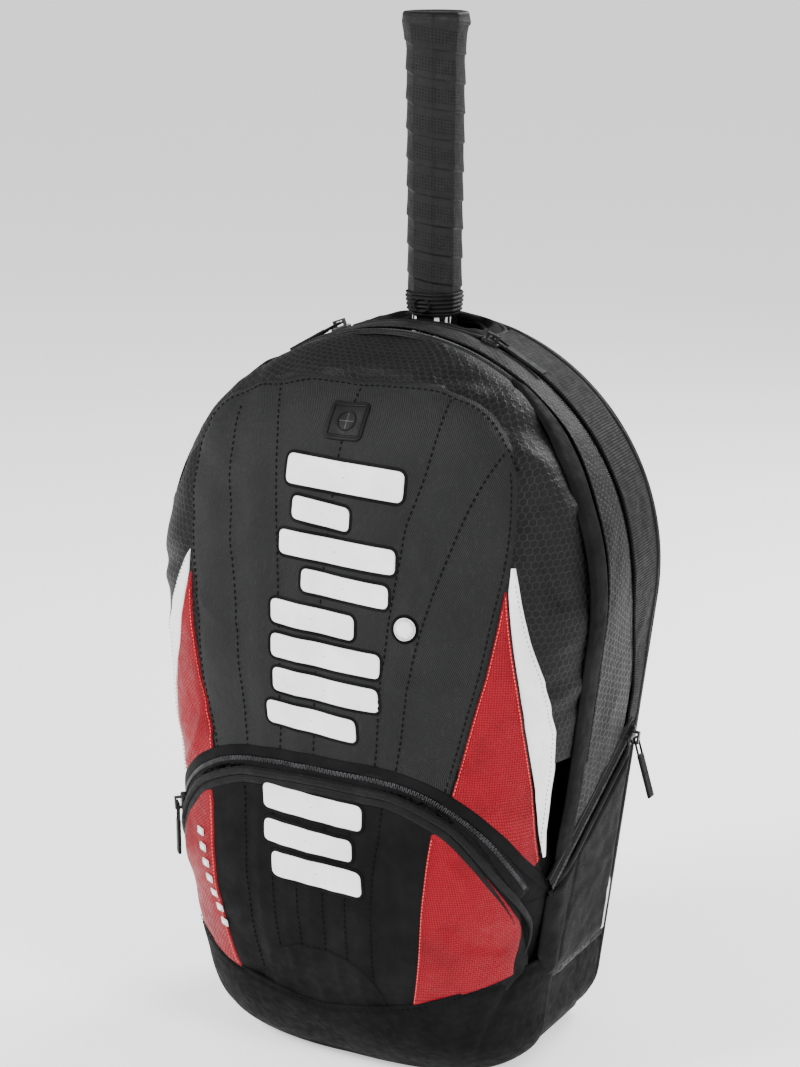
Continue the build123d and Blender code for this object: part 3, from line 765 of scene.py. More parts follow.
def make_grip(name):
    """Perforated overgrip: a band of pricked holes along the middle of each wrap."""
    m = Finish(name)
    across = m.math("FLOORED_MODULO", m.v, WRAP)
    p, q = (m.sub(m.math("FLOORED_MODULO", value, 2.1), 1.05) for value in (m.u, across))
    prick = m.step(m.math("SQRT", m.add(m.mul(p, p), m.mul(q, q))), 0.3, 0.62, 1, 0)
    strip = m.mul(m.step(across, WRAP * 0.16, WRAP * 0.2), m.step(across, WRAP * 0.76, WRAP * 0.8, 1, 0))
    hole = m.mul(prick, strip)
    colour = m.mix(m.noise(9, 5), (0.0035, 0.0036, 0.0035), (0.008, 0.0083, 0.008))
    colour = m.mix(m.cloud(3, 5, 0.55, 0.8, 0, 0.4), colour, (0.014, 0.0145, 0.014))
    # painted shade: the pricked holes are drawn almost black
    colour = m.mix(hole, colour, (0.001, 0.001, 0.001))
    normal = m.bump(m.sub(1, hole), 0.5, m.bump(m.noise(2.5, 3), 0.3))
    return m.done(colour, m.cloud(5, 3, 0.3, 0.7, 0.5, 0.66), normal, Specular_IOR_Level=0.16)


BLACK = make_cloth("black nylon", grey(0.0022, 0.0025), grey(0.0052, 0.0056))
LINING = make_cloth("lining", grey(0.016, 0.018), grey(0.03, 0.032), rough=0.5, pitch=0.7, crease=0.8, sheen=0.08)
TWILL = make_twill("grey twill", grey(0.0042, 0.0045), (0.0165, 0.0167, 0.0175))
RIPSTOP = make_ripstop("honeycomb ripstop", grey(0.0016, 0.0018), grey(0.0085, 0.0092))
RED = make_basket("red basket weave", (0.12, 0.0, 0.0035), (0.33, 0.0, 0.011))
WHITE = make_coated("white coated cloth", grey(0.8, 0.8), grey(0.9, 0.9), 0.4, grain=0.05, dirt=grey(0.62, 0.6))
BOOT = make_coated("boot cloth", grey(0.0022, 0.0024), grey(0.0046, 0.005), 0.66, crease=0.4, shine=0.05)
FLAP = make_coated("storm flap cloth", grey(0.003, 0.0034), grey(0.0065, 0.007), 0.66, crease=0.4, shine=0.05)
RIBBED = make_ribbed("ribbed cloth", grey(0.003, 0.0034), grey(0.0085, 0.0092), 2.0, sheen=0.05)
PIPING = make_ribbed("piping", grey(0.0035, 0.0038), grey(0.009, 0.0096), 1.3, "v", 0.18, rough=0.5, sheen=0.05)
WEBBING = make_ribbed("webbing", grey(0.007, 0.0075), grey(0.02, 0.021), 1.9, depth=0.35, rough=0.55, sheen=0.08)
TAPE = make_ribbed("zip tape", grey(0.003, 0.0033), grey(0.0075, 0.008), 0.9, "v", 0.12, rough=0.65, sheen=0.05)
TEETH = make_hard("zip teeth", grey(0.014, 0.015), grey(0.045, 0.048), 0.34)
MESH = make_mesh_cloth("spacer mesh", grey(0.01, 0.011), grey(0.026, 0.028))
METAL = make_hard("slider metal", grey(0.01, 0.011), grey(0.025, 0.027), 0.32, metal=0.5, wear=grey(0.2, 0.21))
RUBBER = make_hard("pull rubber", grey(0.0025, 0.0028), grey(0.006, 0.0065), 0.55, grain=0.12, shine=0.12)
PORT = make_hard("port rubber", grey(0.0025, 0.0028), grey(0.0055, 0.006), 0.5, grain=0.1, shine=0.12)
BUCKLE = make_hard("buckle", grey(0.007, 0.0075), grey(0.014, 0.015), 0.34, grain=0.06)
LACQUER = make_hard("frame lacquer", grey(0.003, 0.0034), grey(0.007, 0.0077), 0.2, grain=0.01, coat=0.35)
STRINGS = make_ribbed("string", (0.55, 0.54, 0.5), (0.78, 0.77, 0.72), 0.8, depth=0.06, rough=0.35, sheen=0.0)
GRIP = make_grip("overgrip")
BOARD = make_hard("board", grey(0.03, 0.032), grey(0.05, 0.052), 0.6, grain=0.2)
GREY_THREAD = make_ribbed("grey thread", grey(0.03, 0.032), grey(0.09, 0.094), 0.7, "v", 0.1)
DARK_THREAD = make_ribbed("dark thread", grey(0.001, 0.001), grey(0.003, 0.0032), 0.7, "v", 0.1, sheen=0.0)
RED_THREAD = make_ribbed("red thread", (0.6, 0.02, 0.02), (0.9, 0.12, 0.1), 0.7, "v", 0.1)


# ---------------------------------------------------------------- front: stuffed cloth, patches, pocket
def main_edge(z):
    """Rear edge of the front cloth, just ahead of the zip tape."""
    return MAIN_Y(z) - 5.0


def front_grid(z_rows, sunk=None):
    """The front cloth from seam to seam for each row."""
    z = np.asarray(z_rows, float)[:, None]
    edge = np.clip((RIM_Y - main_edge(z)) / (RIM_Y + front_depth(z)), 0.0, 0.97)
    a = np.linspace(-1, 1, 170)[None, :] * np.arcsin(dome(edge))
    p = front_base(a, z)
    x, z = p[..., 0], z + 0 * a
    h = front_relief(x, z) * ramp(main_edge(z) - p[..., 1], 9)
    if sunk is not None:
        h = h - sunk(x, z)
    return p + front_frame(x, z)[1] * h[..., None]


def inside_arch(x, z):
    """Distance inside the pocket's zip line, negative outside."""
    foot_x, foot_z = ARCH[-1]
    edge = np.interp(np.abs(x), [p[0] for p in ARCH], [p[1] for p in ARCH])
    inward = np.where(np.abs(x) < foot_x, 1.0, -1.0) * np.where(z < edge, 1.0, -1.0)
    d = distance_to(x, z, ARCH_PATH[::5])
    return np.where(z < foot_z + 1, np.minimum(d, np.abs(foot_x - np.abs(x))), d) * inward


def pocket_well(x, z):
    """The pocket's room, sunk behind its front."""
    return 12.0 * ramp(inside_arch(x, z) - 3, 14) * ramp(z - 70, 20)


SEAM_Z = 239.6
rows_low = np.linspace(50, SEAM_Z, 114)
rows_top = np.r_[np.linspace(SEAM_Z, 440, 110), 440 + 66.8 * np.sin(np.linspace(0.02, 1, 46) * math.pi / 2)]
lower = cloth("lower_front_cloth", front_grid(rows_low, pocket_well), BLACK, 2.0)
put(lower, "bag", "black_nylon", "lower_front_panel", "pocket_rear_wall")
bend(cloth("front_panel_cloth", front_grid(rows_top), RIPSTOP, 2.2), "front_panel", "ripstop", "front_panel")


def arch_z(x):
    """Height of the pocket's zip at an x."""
    return np.interp(np.abs(x), ARCH_HALF[:, 0], ARCH_HALF[:, 1])


def arch_x(z):
    """Right-hand x of the pocket's zip at a height."""
    return np.interp(z, ARCH_HALF[::-1, 1], ARCH_HALF[::-1, 0])


def patch_grid(z_rows, left, right, lift, columns, foot=False, over_zip=False):
    """A patch between two side lines, with rounded edges that meet the cloth beneath."""
    z = np.asarray(z_rows, float)[:, None]
    x0, x1 = left(z), right(z)
    x = x0 + (x1 - x0) * np.linspace(0, 1, columns)[None, :]
    z = z + 0 * x
    if foot:
        z = np.maximum(z, np.interp(x, BOOT_TOP[:, 0], BOOT_TOP[:, 1]) - 1.5)
    if over_zip:
        z = np.maximum(z, arch_z(x) + 3.0)
    sides = np.minimum(x - x0, x1 - x)
    ends = np.minimum(z - z.min(), z.max() - z) * 1.2
    return on_front(x, z, lift + ramp(np.minimum(sides, ends + 0.001), 1.6) ** 0.5 - 0.8)


def patch(name, mat, body, slot, low, top, left, right, lift, columns, step=1.7, **shape):
    rows = np.linspace(low, top, max(int((top - low) / step), 6))
    bend(cloth(name, patch_grid(rows, left, right, lift, columns, **shape), mat), body, slot)


SHIELD_FLAT_Z = 479.0  # above this the shield's sides run straight up to its top edge


def shield_grid():
    """The grey shield; its lower edge follows the pocket's zip."""
    low, top = 194, 482
    t = np.linspace(0, 1, 96)[None, :]
    z_line = low + (top - low) * np.linspace(0, 1, 150)[:, None]
    x0 = np.where(z_line > SHIELD_FLAT_Z, -48.0, SHIELD_LEFT(z_line))
    x1 = np.where(z_line > SHIELD_FLAT_Z, 58.0, SHIELD_RIGHT(z_line))
    x = x0 + (x1 - x0) * t
    z = np.maximum(z_line + 0 * t, arch_z(x) + 5.0)
    d = np.minimum(np.minimum(x - x0, x1 - x), top - z)
    return on_front(x, z, 0.15 + 0.9 * ramp(d, 1.6) ** 0.5 - 0.1)


bend(cloth("shield_cloth", shield_grid(), TWILL), "front_panel", "grey_twill")

# side stripes: inner and outer line of the red, outer line of the white; the red's low and top
STRIPES = {
    "right": (
        straight([161, 168, 190, 215, 260, 305, 340, 362], [131, 119, 101, 93, 103, 114, 120, 122.5]),
        straight([161, 171, 223, 289, 340, 362], [133.5, 137, 137, 132, 126, 123.5]),
        straight([168, 190, 210, 235, 263, 300, 350, 377], [138.4, 140.2, 142.4, 145, 147, 144, 133, 127]),
        161, 361,
    ),
    "left": (
        straight([170, 195, 215, 240, 275, 310, 347], [107, 92, 86, 91, 101, 107, 111.5]),
        straight([170, 195, 217, 259, 311, 347], [119, 119.5, 128, 133, 119, 112.5]),
        straight([190, 203, 223, 261, 297, 335, 362], [127, 129, 136, 141, 144, 128, 113.5]),
        172, 346,
    ),
}


def side_patch(name, side, mat, body, low, top, inner, outer, **shape):
    """A patch on the right, or its mirror image on the left."""
    lines = (inner, outer) if side == "right" else (mirror_line(outer), mirror_line(inner))
    patch(f"{name}_{side}", mat, body, "black_nylon", low, top, *lines, **shape)


def make_stripes(side):
    red_in, red_out, white_out, low, top = STRIPES[side]

    def white_in(z):
        return np.minimum(red_out(np.clip(z, low, top)) + 1.0, white_out(z) - 0.3)

    shape = {"lift": 0.9, "columns": 20, "over_zip": True}
    side_patch("red_stripe", side, RED, "front_panel", low, top, red_in, red_out, **shape)
    side_patch("white_stripe", side, WHITE, "front_panel", low + 10, top + 15, white_in, white_out, **shape)


make_stripes("right")
make_stripes("left")


# ---------------------------------------------------------------- pocket
def pocket_grid():
    """The pocket's front; its top follows the zip."""
    t = np.linspace(-1, 1, 150)[None, :]
    low, top, gap = 53, 223.5, 9.0
    z_line = low + (top - low) * np.linspace(0, 1, 130)[:, None]
    x = np.minimum(arch_x(np.maximum(z_line, 140.2)) - gap, 0.965 * half_width(z_line)) * t
    z = np.minimum(z_line + 0 * t, arch_z(x) - gap)
    return on_front(x, z, 0.9 + ramp(inside_arch(x, z) - 8.0, 4) ** 0.5)


bend(cloth("pocket_cloth", pocket_grid(), BLACK, 1.6), "front_pocket", "black_nylon", "pocket_front")

PIPE_LINE = smooth_path(both_sides([
    (0, 221.6), (30, 220.5), (57, 218.6), (78, 211.5), (96, 201), (110, 184), (120, 165), (127, 147), (130.5, 128),
    (129.5, 112), (126.5, 97),
]))
pipe_half = PIPE_LINE[len(PIPE_LINE) // 2:]
red_low_in = hermite([60, 69, 85, 100, 153, 199, 206], [64, 66.5, 70.5, 73.5, 79.5, 84.5, 86])


def red_low_out(z):
    """Outer line of the pocket's red panel, just inside the piping."""
    return np.interp(z, pipe_half[::-1, 1], pipe_half[::-1, 0]) - 3.0 - np.maximum(97 - z, 0) * 0.12


def oval_half(z):
    """Half the width of the half-oval patch at a height."""
    return 49.0 * np.sqrt(np.clip(1 - ((z - 62) / 42.0) ** 2, 0.0001, 1))


for side in ("right", "left"):
    shape = {"lift": 2.3, "columns": 44, "foot": True}
    side_patch("red_pocket_panel", side, RED, "front_pocket", 64, 199, red_low_in, red_low_out, **shape)
oval_lines = (mirror_line(oval_half), oval_half)
patch("half_oval_patch", FLAP, "front_pocket", "boot_cloth", 55, 103.4, *oval_lines, 2.5, 60, 1.0, foot=True)


# ---------------------------------------------------------------- boot
def boot_front():
    """The boot over the front, its top edge dipping at the middle."""
    t = np.linspace(-1, 1, 170)[None, :]
    k = np.linspace(0, 1, 46)[:, None]
    top = np.interp(np.sin(t * math.pi / 2) * 128, BOOT_TOP[:, 0], BOOT_TOP[:, 1])
    z = 5.0 + (top - 5.0) * k
    edge = np.clip((RIM_Y + 5.0) / (RIM_Y + front_depth(z)), 0, 0.97)
    p = front_base(t * np.arcsin(dome(edge)), z)
    x = p[..., 0]
    seam_x = np.interp(z, [0, 92], [88, 124])
    lift = 2.7 + 0.7 * bumps(x, z, 40, 22, 31) + ramp(0.95 - k, 0.05)
    lift = lift - 1.2 * ridge(x - seam_x, 2.2) - 1.2 * ridge(x + seam_x, 2.2)
    return p + front_frame(x, z)[1] * lift[..., None]


put(cloth("boot_front_cloth", boot_front(), BOOT, 2.4), "bag", "boot_cloth", "base_boot")


def outline_ring(z, inset):
    """Plan section of the bag at one height: dome in front, straight sides, flat back."""
    rear = BACK_Y - 1
    depth = max(RIM_Y + float(front_depth(z)) - inset, 4)
    w = float(half_width(z)) - inset
    s = np.sin(np.linspace(-math.pi / 2, math.pi / 2, 200))
    front = np.stack([w * s, RIM_Y - depth * dome(np.abs(s))], 1)
    right = np.stack([np.full(28, w), np.linspace(RIM_Y, rear, 30)[1:-1]], 1)
    back = np.stack([np.linspace(w, -w, 60), np.full(60, rear)], 1)
    return np.vstack([front, right, back, right[::-1] * [-1, 1]])


# floor of the boot and its ledge, as (height, inset)
LEDGE = ((0.0, 60), (0.0, 20), (0.0, 7.0), (0.5, 4.2), (1.8, 3.0), (3.2, 2.7), (4.4, 3.4), (5.0, 5.0), (5.4, 9.0))
rings = [np.insert(outline_ring(6.0, inset), 2, height, axis=1) for height, inset in LEDGE]
ledge = Batch()
ledge.grid(np.array(rings))
ledge.cap(range(len(rings[0])))
put(ledge.done("base_ledge", BOOT), "bag", "boot_cloth")

ring = outline_ring(7.0, -3.0)
path = closed(np.column_stack([ring, 7.0 + 1.0 * bumps(ring[:, 0], ring[:, 1], 60, 60, 37)]))
cord("base_piping", "bag", (path, unit((path - [0, 30.0, 7.0]) * [1, 1, 0]), 2.1, 1.7))


def boot_row(z):
    """Side, rounded corner and rear of the boot at one height."""
    w, flat_y = float(half_width(z)), BACK_Y - 5
    turn = np.linspace(0, math.pi / 2, 9)[1:]
    right = np.stack([np.full(50, w + 2.0), np.linspace(-6, flat_y, 50)], 1)
    corner = np.stack([w + 2.0 - 5 * (1 - np.cos(turn)), flat_y + 5 * np.sin(turn)], 1)
    back = np.stack([np.linspace(w - 4, -(w - 4), 90), np.full(90, BACK_Y)], 1)
    half = np.vstack([right, corner])
    row = np.vstack([half, back[1:-1], (half * [-1, 1])[::-1]])
    swell = 0.5 * bumps(row[:, 0] + row[:, 1] * 1.3, np.full(len(row), z), 38, 20, 35)
    row[:, 0] += np.sign(row[:, 0]) * swell * (row[:, 1] < flat_y)
    return np.insert(row, 2, z, axis=1)


rows = np.array([boot_row(z) for z in np.linspace(4.0, 71, 24)])
put(cloth("boot_side_cloth", rows, BOOT, 2.4), "bag", "boot_cloth")


# ---------------------------------------------------------------- gussets, zips, flap
SEAM_GAP = 4.2
REAR_SEAM = BACK_Y - 1.5
S_LOW, S_HIGH = run_at(69.0, 1), run_at(69.0, -1)


def gusset_band(name, y_front, y_rear, mat, slot, *nodes, s, rows=26, lift=0.0, sag=0.0):
    z = height_at(s)
    k = np.linspace(0, 1, rows)[:, None]
    y = y_front(z)[None, :] * (1 - k) + y_rear(z)[None, :] * k
    P = on_gusset(s[None, :] + 0 * y, y, lift + sag * np.sin(math.pi * k) + 0 * y)
    put(cloth(name, P, mat, 2.0), "bag", slot, *nodes)


def side_front(z):
    return np.where(z > 228, MAIN_Y(z) + SEAM_GAP, -5.0)


def side_rear(z):
    return RACKET_Y(z) - SEAM_GAP


def rear_front(z):
    return np.where(z > 236, RACKET_Y(z) + SEAM_GAP, 62.0)


def level(y):
    return lambda z: 0 * z + y


def top_run(x):
    """Run of the outline point over the bag's top at an x."""
    top = slice(len(G_LINE) // 4, -(len(G_LINE) // 4))
    return float(np.interp(-x, -G_LINE[top, 0], G_RUN[top]))


MOUTH_RIGHT, MOUTH_LEFT = top_run(51.0), top_run(-51.0)
gusset_band("side_gusset_cloth", side_front, side_rear, RIPSTOP, "ripstop", "side_gusset_right", "side_gusset_left",
            "top_gusset", rows=44, sag=0.8, s=np.linspace(S_LOW, S_HIGH, 520))
for side, ends in (("right", (S_LOW, MOUTH_RIGHT)), ("left", (MOUTH_LEFT, S_HIGH))):
    gusset_band(f"rear_gusset_{side}", rear_front, level(REAR_SEAM), RIBBED, "black_nylon", "rear_gusset", sag=0.5,
                lift=0.2, s=np.linspace(*ends, 250))
gusset_band("mouth_rear_cloth", level(84.0), level(REAR_SEAM), RIBBED, "black_nylon", rows=5, lift=0.2,
            s=np.linspace(MOUTH_RIGHT - 2, MOUTH_LEFT + 2, 90))

TAPE_HALF = [(1.2, 0.25), (2.6, 0.1), (5.4, -0.9), (8.5, -1.3)]
TAPE_SECTION = [(-x, y) for x, y in TAPE_HALF[::-1]] + TAPE_HALF


def zip_parts(name, s, y, node):
    """Tape and coil laid in the gusset."""
    P, N = gusset_path(s, y, -0.4, relief=False)
    put(band(f"{name}_tape", P, N, TAPE_SECTION, TAPE), "bag", "zip_coil", node)
    coil(f"{name}_teeth", P, N, lift=0.6)


s_main = runs_above(229, 700)
zip_parts("main_zip", s_main, MAIN_Y(height_at(s_main)), "main_zip")
s_rack = runs_above(237, 700)
points = at_gusset(s_rack)[0]
rack_y = RACKET_Y(points[:, 1])
off_mouth = (points[:, 1] <= 400) | (np.abs(points[:, 0]) > 50)
for side, here in (("right", s_rack < G_END / 2), ("left", s_rack > G_END / 2)):
    zip_parts(f"racket_zip_{side}", s_rack[off_mouth & here], rack_y[off_mouth & here], "racket_zip")

s_pipe = runs_above(62, 620)
cord("rear_piping", "bag", (*gusset_path(s_pipe, np.full(620, BACK_Y - 3.0), 0.8), 2.6, 2.6))
cord("racket_zip_front_piping", "bag", (*gusset_path(s_rack, rack_y - 7.0, 0.5), 1.5, 1.5))


def storm_flap(side, turn):
    """A smooth flap over the front edge of the main zip."""
    s1 = run_at(482)
    s = np.linspace(run_at(150), s1, 210)
    z = height_at(s)
    taper = ramp(s1 - s, 60) ** 0.6
    rear = MAIN_Y(z) - 1.2 - 3.2 * ramp(205 - z, 30)
    width = 19.0 * taper + 0.4
    k = np.linspace(0, 1, 22)[:, None]
    y = (rear - width)[None, :] * (1 - k) + rear[None, :] * k
    crown = 1.2 + 1.5 * ramp(k, 0.2) ** 0.5 + 0.5 * np.sin(math.pi * k) - 1.3 * ramp(k - 0.92, 0.08)
    crown = crown * np.clip(taper * 3, 0.2, 1)[None, :]
    wave = 0.5 * bumps(s, 0 * s, 44, 10, 41)[None, :]
    shrink = dome(np.clip((RIM_Y - y) / (RIM_Y + front_depth(z[None, :] + 0 * y)), 0, 0.98))
    p, n = at_gusset(s[None, :] + 0 * y)
    centre = np.array([0.0, SHOULDER_Z])
    on_arc = centre + (p - centre) * shrink[..., None]
    pulled = np.where(p[..., 1:2] > SHOULDER_Z, on_arc, p * np.stack([shrink, 1 + 0 * shrink], -1))
    pos = pulled + n * (crown + wave)[..., None]
    P = np.stack([pos[..., 0] * turn, y, pos[..., 1]], -1)
    bend(cloth(f"storm_flap_{side}", P, FLAP, 1.0, flip=turn < 0), "front_panel", "boot_cloth")


SIDES = (("right", 1), ("left", -1))
for side, turn in SIDES:
    storm_flap(side, turn)


# ---------------------------------------------------------------- flat appliques of any star-shaped outline
def rounded(points, radius=3.0, step=1.2):
    """A closed outline with rounded corners."""
    p = np.array(points, float)
    t = np.linspace(0, 1, 7)[:, None]
    out = []
    for before, here, after in zip(np.roll(p, 1, 0), p, np.roll(p, -1, 0)):
        cut = min(radius, 0.45 * np.linalg.norm(before - here), 0.45 * np.linalg.norm(after - here))
        start, end = here + unit(before - here) * cut, here + unit(after - here) * cut
        out.append((1 - t) ** 2 * start + 2 * t * (1 - t) * here + t**2 * end)
    q = closed(np.vstack(out), 1)
    run = run_of(q)
    return read_at(np.linspace(0, run[-1], max(int(run[-1] / step), 12), endpoint=False), run, q)


def fan(outline, middle, sizes):
    """Rings of an outline shrunk towards its middle."""
    return np.array([middle + (outline - middle) * k for k in sizes])


def centre_and_size(outline):
    middle = outline.mean(axis=0)
    return middle, np.linalg.norm(outline - middle, axis=1).mean()


def applique(batch, outline, base, thick, place=on_front):
    """A flat shape on a surface: its edge rolls down to the cloth."""
    middle, size = centre_and_size(outline)
    levels = [(1.0, -1.4), (1.0, 0.45), (1 - 0.35 / size, 0.85), (1 - 0.9 / size, 1.0)]
    levels += [(k, 1.0) for k in np.linspace(0.93, 0.02, max(int(size / 2.2), 3))]
    flat = fan(outline, middle, [k for k, _ in levels])
    rings = [place(p[:, 0], p[:, 1], base + thick * rise) for p, (_, rise) in zip(flat, levels)]
    batch.grid(np.array(rings), uv=flat)


def grown(outline, distance):
    t = np.roll(outline, -1, 0) - np.roll(outline, 1, 0)
    n = unit(np.stack([t[:, 1], -t[:, 0]], axis=1))
    if ((outline - outline.mean(0)) * n).sum() < 0:
        n = -n
    return outline + n * distance


# generic graphic: a column of slanted rounded bars and a dot, as (middle z, height, left x, right x)
BARS = [
    (424, 19, -38, 50), (400, 15, -30, 14), (377, 16, -38, 50), (354, 15, -18, 47), (331, 16, -40, 24),
    (308, 16, -38, 44), (285, 16, -36, 44), (262, 16, -40, 28), (204, 17, -40, 36), (181, 15, -38, 30),
    (159, 17, -30, 38),
]
upper_shapes, lower_shapes = [], []
for z, high, x0, x1 in BARS:
    up, down = z + high / 2, z - high / 2
    shape = rounded([(x0, up + 2), (x1, up - 2.5), (x1 + 1, down - 2.5), (x0 + 1, down + 2)], 4.5)
    (upper_shapes if z > 230 else lower_shapes).append(shape)
upper_shapes.append(np.stack([61 + 7.5 * np.cos(circle(40)), 333 + 7.5 * np.sin(circle(40))], axis=1))
for part, shapes, base, body in (
    ("upper", upper_shapes, 0.9, "front_panel"),
    ("lower", lower_shapes, 2.2, "front_pocket"),
):
    bars, outlines = Batch(), Batch()
    for shape in shapes:
        applique(outlines, grown(shape, 2.2), base, 0.35)
        applique(bars, shape, base, 0.85)
    put(bars.done(f"graphic_bars_{part}", WHITE), body, "black_nylon")
    put(outlines.done(f"graphic_outline_{part}", FLAP), body, "boot_cloth")

dashes = Batch()
for z in 166 - np.arange(7) * 10.5:
    x = -95 + (166 - z) * 0.30
    dash = [(x - 3, z + 3.4), (x + 3.4, z + 2.4), (x + 4.0, z - 2.6), (x - 2.2, z - 1.8)]
    applique(dashes, rounded(dash, 1.0, 0.7), 3.4, 0.3)
put(dashes.done("red_panel_dashes", WHITE), "front_pocket", "black_nylon")


# ---------------------------------------------------------------- arch zip and piping
def thinned(P, centre, z, low, high, least):
    """A swept section made smaller towards its lower ends, between two heights."""
    size = least + (1 - least) * ramp(z - low, high - low)
    return centre[:, None] + (P - centre[:, None]) * size[:, None, None]


tape_section = [(-6.5, -1.0), (-6.0, 0.5), (-4.2, 1.0), (-3.4, 0.7), (-2.4, 1.0), (2.4, 1.0), (3.4, 0.7), (4.2, 1.0),
                (6.0, 0.9), (6.5, -1.0)]
lip_section = [(-4.2, -1.2), (-4.0, 1.0), (-2.6, 1.6), (0, 1.5), (2.6, 1.7), (4.0, 1.2), (4.6, -1.0)]
hem_section = [(-3.2, 0.6), (-2.8, 2.2), (-1, 2.7), (1.2, 2.6), (2.8, 2.3), (3.3, 0.8)]
tape = band("arch_zip_tape", *front_path(shifted(ARCH_PATH, -5.0)[5:-5]), tape_section, TAPE)
put(tape, "bag", "zip_coil", "pocket_zip")
coil("arch_zip_teeth", *front_path(shifted(ARCH_PATH, -3.5)[7:-7]), pitch=1.45, width=3.5, lift=1.6)
put(band("arch_zip_upper_lip", *front_path(shifted(ARCH_PATH, 1.8)), lip_section, BLACK), "bag", "black_nylon")

P, N = front_path(PIPE_LINE, 2.0)
piping = Batch()
piping.grid(thinned(tube(P, N, 2.9, 2.755, 12), P - N * 2.0, PIPE_LINE[:, 1], 97, 150, 0.25))
bend(piping.done("pocket_piping", PIPING), "front_pocket", "webbing")
hem_line = shifted(PIPE_LINE[PIPE_LINE[:, 1] > 130], -5.0)
P, N = front_path(hem_line)
risen = P[:, None] + N[:, None] * np.array(hem_section)[:, 1:]
hem = risen + thinned(sweep(P, N, hem_section) - risen, 0 * P, hem_line[:, 1], 132, 178, 0.15)
bend(cloth("pocket_hem", hem.transpose(1, 0, 2), PIPING), "front_pocket", "webbing")

# ---------------------------------------------------------------- cable port
port_outline = rounded([(-14.5, 469.2), (14.5, 469.2), (14.5, 446.2), (-14.5, 446.2)], 4.5, 0.8)
around = np.linspace(0, 2 * math.pi, 42)
port = Batch()
applique(port, port_outline, 0.4, 2.0)
port.grid(tube(*front_path(closed(grown(port_outline, -2.4)), 2.4), 1.0, 0.8, 8))
eye = np.stack([6.6 * np.cos(around), 457.7 + 5.5 * np.sin(around)], 1)
port.grid(tube(*front_path(eye, 2.4), 0.7, 0.7, 8))
put(port.done("port_plate", PORT), "front_panel", "port_rubber", "cable_port")
# painted glint: the slit cross is drawn in the lighter zip-teeth grey, though the slits themselves are dark cuts in
# the rubber
slits = Batch()
for ends in ([(-5.4, 457.7), (5.4, 457.7)], [(0, 462.4), (0, 453.0)]):
    slits.grid(tube(*front_path(smooth_path(ends, 0.8), 2.2), 0.5, 0.35, 6))
put(slits.done("port_slits", TEETH), "front_panel", "port_rubber")


# ---------------------------------------------------------------- stitching of the front
def stitched(name, paths, mat, body, lift, *sizes):
    """Rows of stitches; the sizes are pitch, length and radius."""
    batch = Batch()
    for path in paths:
        stitch_row(batch, *front_path(path, lift), *sizes)
    bend(batch.done(name, mat), body, "webbing")


def line_of(f, low, high, offset, mirror=False):
    z = np.linspace(low, high, 90)
    x = f(z) + offset
    return np.stack([-x if mirror else x, z], axis=1)


def above_zip(lines):
    return [line[line[:, 1] > arch_z(line[:, 0]) + 6.0] for line in lines]


top_edge = smooth_path([
    (118.5, 434), (108, 449), (97, 461), (84, 469.5), (69, 474.5), (54, 477.8), (20, 479), (-20, 479), (-38, 478.5),
    (-56, 475), (-80, 470), (-101, 460), (-114, 446), (-118.5, 431),
])
shield_lines = [smooth_path(p)[2:] for p in TOPSTITCH]
shield_lines += [line_of(SHIELD_RIGHT, 204, 434, -3.2), line_of(SHIELD_LEFT, 210, 431, 3.2), top_edge]
pocket_lines = [smooth_path(p) for p in POCKET_CHANNELS] + [OVAL]
(right_in, right_out, right_white, *_), (left_in, left_out, left_white, *_) = STRIPES["right"], STRIPES["left"]
red_lines = [
    line_of(right_out, 170, 358, -0.9),
    line_of(right_in, 196, 350, 1.0),
    line_of(left_out, 178, 342, -0.9, mirror=True),
    line_of(left_in, 200, 336, 1.0, mirror=True),
]
low_lines = [line_of(red_low_in, 72, 196, 1.2, mirror) for mirror in (False, True)]
white_lines = [line_of(right_white, 176, 366, -1.8), line_of(left_white, 196, 354, -1.8, mirror=True)]
RED_SIZES, WHITE_SIZES = (2.6, 1.9, 0.36), (3.4, 1.4, 0.28)
stitched("shield_stitching", shield_lines, DARK_THREAD, "front_panel", 0.8, 4.4, 3.1, 0.58)
stitched("pocket_stitching", pocket_lines, DARK_THREAD, "front_pocket", 2.05)
stitched("red_stripe_stitching", above_zip(red_lines), RED_THREAD, "front_panel", 1.05, *RED_SIZES)
stitched("red_pocket_stitching", low_lines, RED_THREAD, "front_pocket", 3.3, *RED_SIZES)
stitched("white_stripe_stitching", above_zip(white_lines), GREY_THREAD, "front_panel", 1.0, *WHITE_SIZES)
thread = Batch()
stitch_row(thread, *front_path(shifted(BOOT_TOP, -3.0)[4:-4], 3.0))
put(thread.done("boot_stitching", DARK_THREAD), "bag", "webbing")


# ---------------------------------------------------------------- side pockets and their zips
def side_point(y, z, lift, turn):
    """A point off the bag's side."""
    y, z, lift = np.broadcast_arrays(np.asarray(y, float), z, lift)
    return np.stack([turn * (half_width(z) + lift * math.cos(LEAN)), y, z], axis=-1)


def side_top(y):
    return 140.0 + (y + 30) * 84 / 110


def side_foot(y):
    return np.where(y < -12, 70 + (-12 - y) * 26 / 18, 70.0)


def side_lift(y, z):
    """How far the side pocket's cloth stands off the bag."""
    d = np.minimum(np.minimum(y + 30, 80 - y), np.minimum(z - side_foot(y), (side_top(y) - z) * 1.6 + 5.0))
    full = ramp(d, 16)
    a, b = turned(y, z, 37)
    folds = 0.5 * bumps(y, z, 40, 34, 51) + 0.6 * bumps(a, b, 46, 11, 53) + 0.25 * bumps(y, z, 12, 14, 55)
    seam = ridge(y + 8 - (z - 96) * 0.14, 2.2)
    return 0.6 + 7.2 * np.sin(full * math.pi / 2) ** 0.9 + full * (folds - seam)


SIDE_TAPE = [(-7, -3.6), (-6.4, -0.6), (-3, 0.5), (3, 0.5), (6.4, -0.6), (7, -3.6)]


